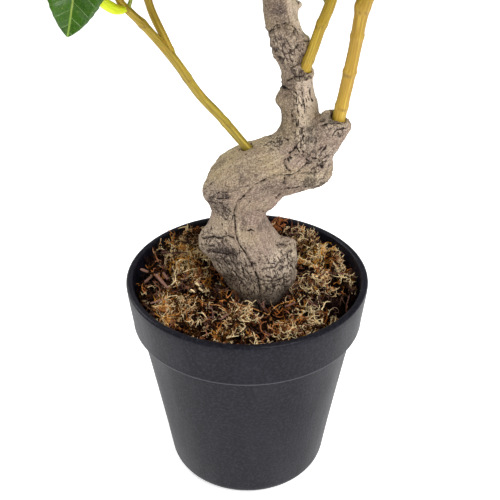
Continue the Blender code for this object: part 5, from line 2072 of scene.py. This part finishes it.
def studio_surround(settings):
    """White all round, dimmer on the left and on the side that the camera stands on."""
    world = bpy.data.worlds.new("Studio")
    bpy.context.scene.world = world
    world.use_nodes = True
    tree = world.node_tree
    background = tree.nodes["Background"]
    way = object_place(tree)
    towards = add_node(tree, "ShaderNodeVectorMath", {0: way, 1: (-0.6, -0.8, 0)}, operation="DOT_PRODUCT")
    dim = span(tree, towards.outputs["Value"], -0.2, 0.9, 1.0, 0.3)
    feed(tree, background.inputs["Strength"], times(tree, dim, settings.surround))
    feed(tree, background.inputs["Color"], (1, 1, 1))


class LEMONTREE_OT_studio(bpy.types.Operator):
    """Set up the pale floor, the soft lights and the camera"""

    bl_idname = "lemon_tree.studio"
    bl_label = "Studio"

    def execute(self, context):
        settings = context.scene.tree_stage
        deselect()
        bpy.ops.mesh.primitive_plane_add(size=2 * FLOOR_HALF, location=(0, 0, 0))
        floor = context.object
        floor.name = "paper_floor"
        with edit_mode():
            bpy.ops.mesh.subdivide(number_cuts=8)
        floor.data.materials.append(paper(settings))
        floor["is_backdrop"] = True
        studio_surround(settings)
        for name, place, size, watts in SOFTBOXES:
            light = bpy.data.lights.new(name, "AREA")
            light.shape = "SQUARE"
            light.size = size
            light.energy = watts
            softbox = new_object(name, light)
            softbox.location = place
            aim = LIGHT_TARGET - Vector(place)
            softbox.rotation_euler = aim.to_track_quat("-Z", "Y").to_euler()
        camera = bpy.data.cameras.new("Camera")
        camera.lens = settings.lens
        camera.sensor_width = 36.0
        stand = new_object("Camera", camera)
        stand.location = CAMERA_PLACE
        stand.rotation_euler = (math.radians(CAMERA_PITCH), 0, 0)
        context.scene.camera = stand
        context.scene.view_settings.view_transform = "Standard"
        return {"FINISHED"}


# ---------------------------------------------------------------- add-on
SETTINGS = {
    "tree_pot": PotSettings,
    "tree_moss": MossSettings,
    "tree_trunk": TrunkSettings,
    "tree_stems": StemSettings,
    "tree_leaves": LeafSettings,
    "tree_lemons": LemonSettings,
    "tree_stage": StageSettings,
}
OPERATORS = (
    LEMONTREE_OT_pot,
    LEMONTREE_OT_ballast,
    LEMONTREE_OT_moss,
    LEMONTREE_OT_trunk,
    LEMONTREE_OT_stems,
    LEMONTREE_OT_leaves,
    LEMONTREE_OT_lemons,
    LEMONTREE_OT_studio,
)


class LEMONTREE_PT_panel(bpy.types.Panel):
    """The pieces of the lemon tree, in the order in which they are made"""

    bl_idname = "LEMONTREE_PT_panel"
    bl_label = "Potted lemon tree"
    bl_space_type = "VIEW_3D"
    bl_region_type = "UI"
    bl_category = "Lemon tree"

    def draw(self, context):
        for step in OPERATORS:
            self.layout.operator(step.bl_idname)


CLASSES = (*SETTINGS.values(), *OPERATORS, LEMONTREE_PT_panel)


def register():
    for kind in CLASSES:
        bpy.utils.register_class(kind)
    for name, kind in SETTINGS.items():
        setattr(bpy.types.Scene, name, bpy.props.PointerProperty(type=kind))


def unregister():
    for name in SETTINGS:
        delattr(bpy.types.Scene, name)
    for kind in reversed(CLASSES):
        bpy.utils.unregister_class(kind)


def main():
    register()
    bpy.ops.lemon_tree.pot()
    bpy.ops.lemon_tree.ballast()
    bpy.ops.lemon_tree.moss()
    bpy.ops.lemon_tree.trunk()
    bpy.ops.lemon_tree.stems()
    bpy.ops.lemon_tree.leaves()
    bpy.ops.lemon_tree.lemons()
    bpy.ops.lemon_tree.studio()
    boxes = {"cad": CAD_BOX, "visual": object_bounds()}
    sizes = {name: [list(corner) for corner in box] for name, box in boxes.items()}


if __name__ == "__main__":
    main()
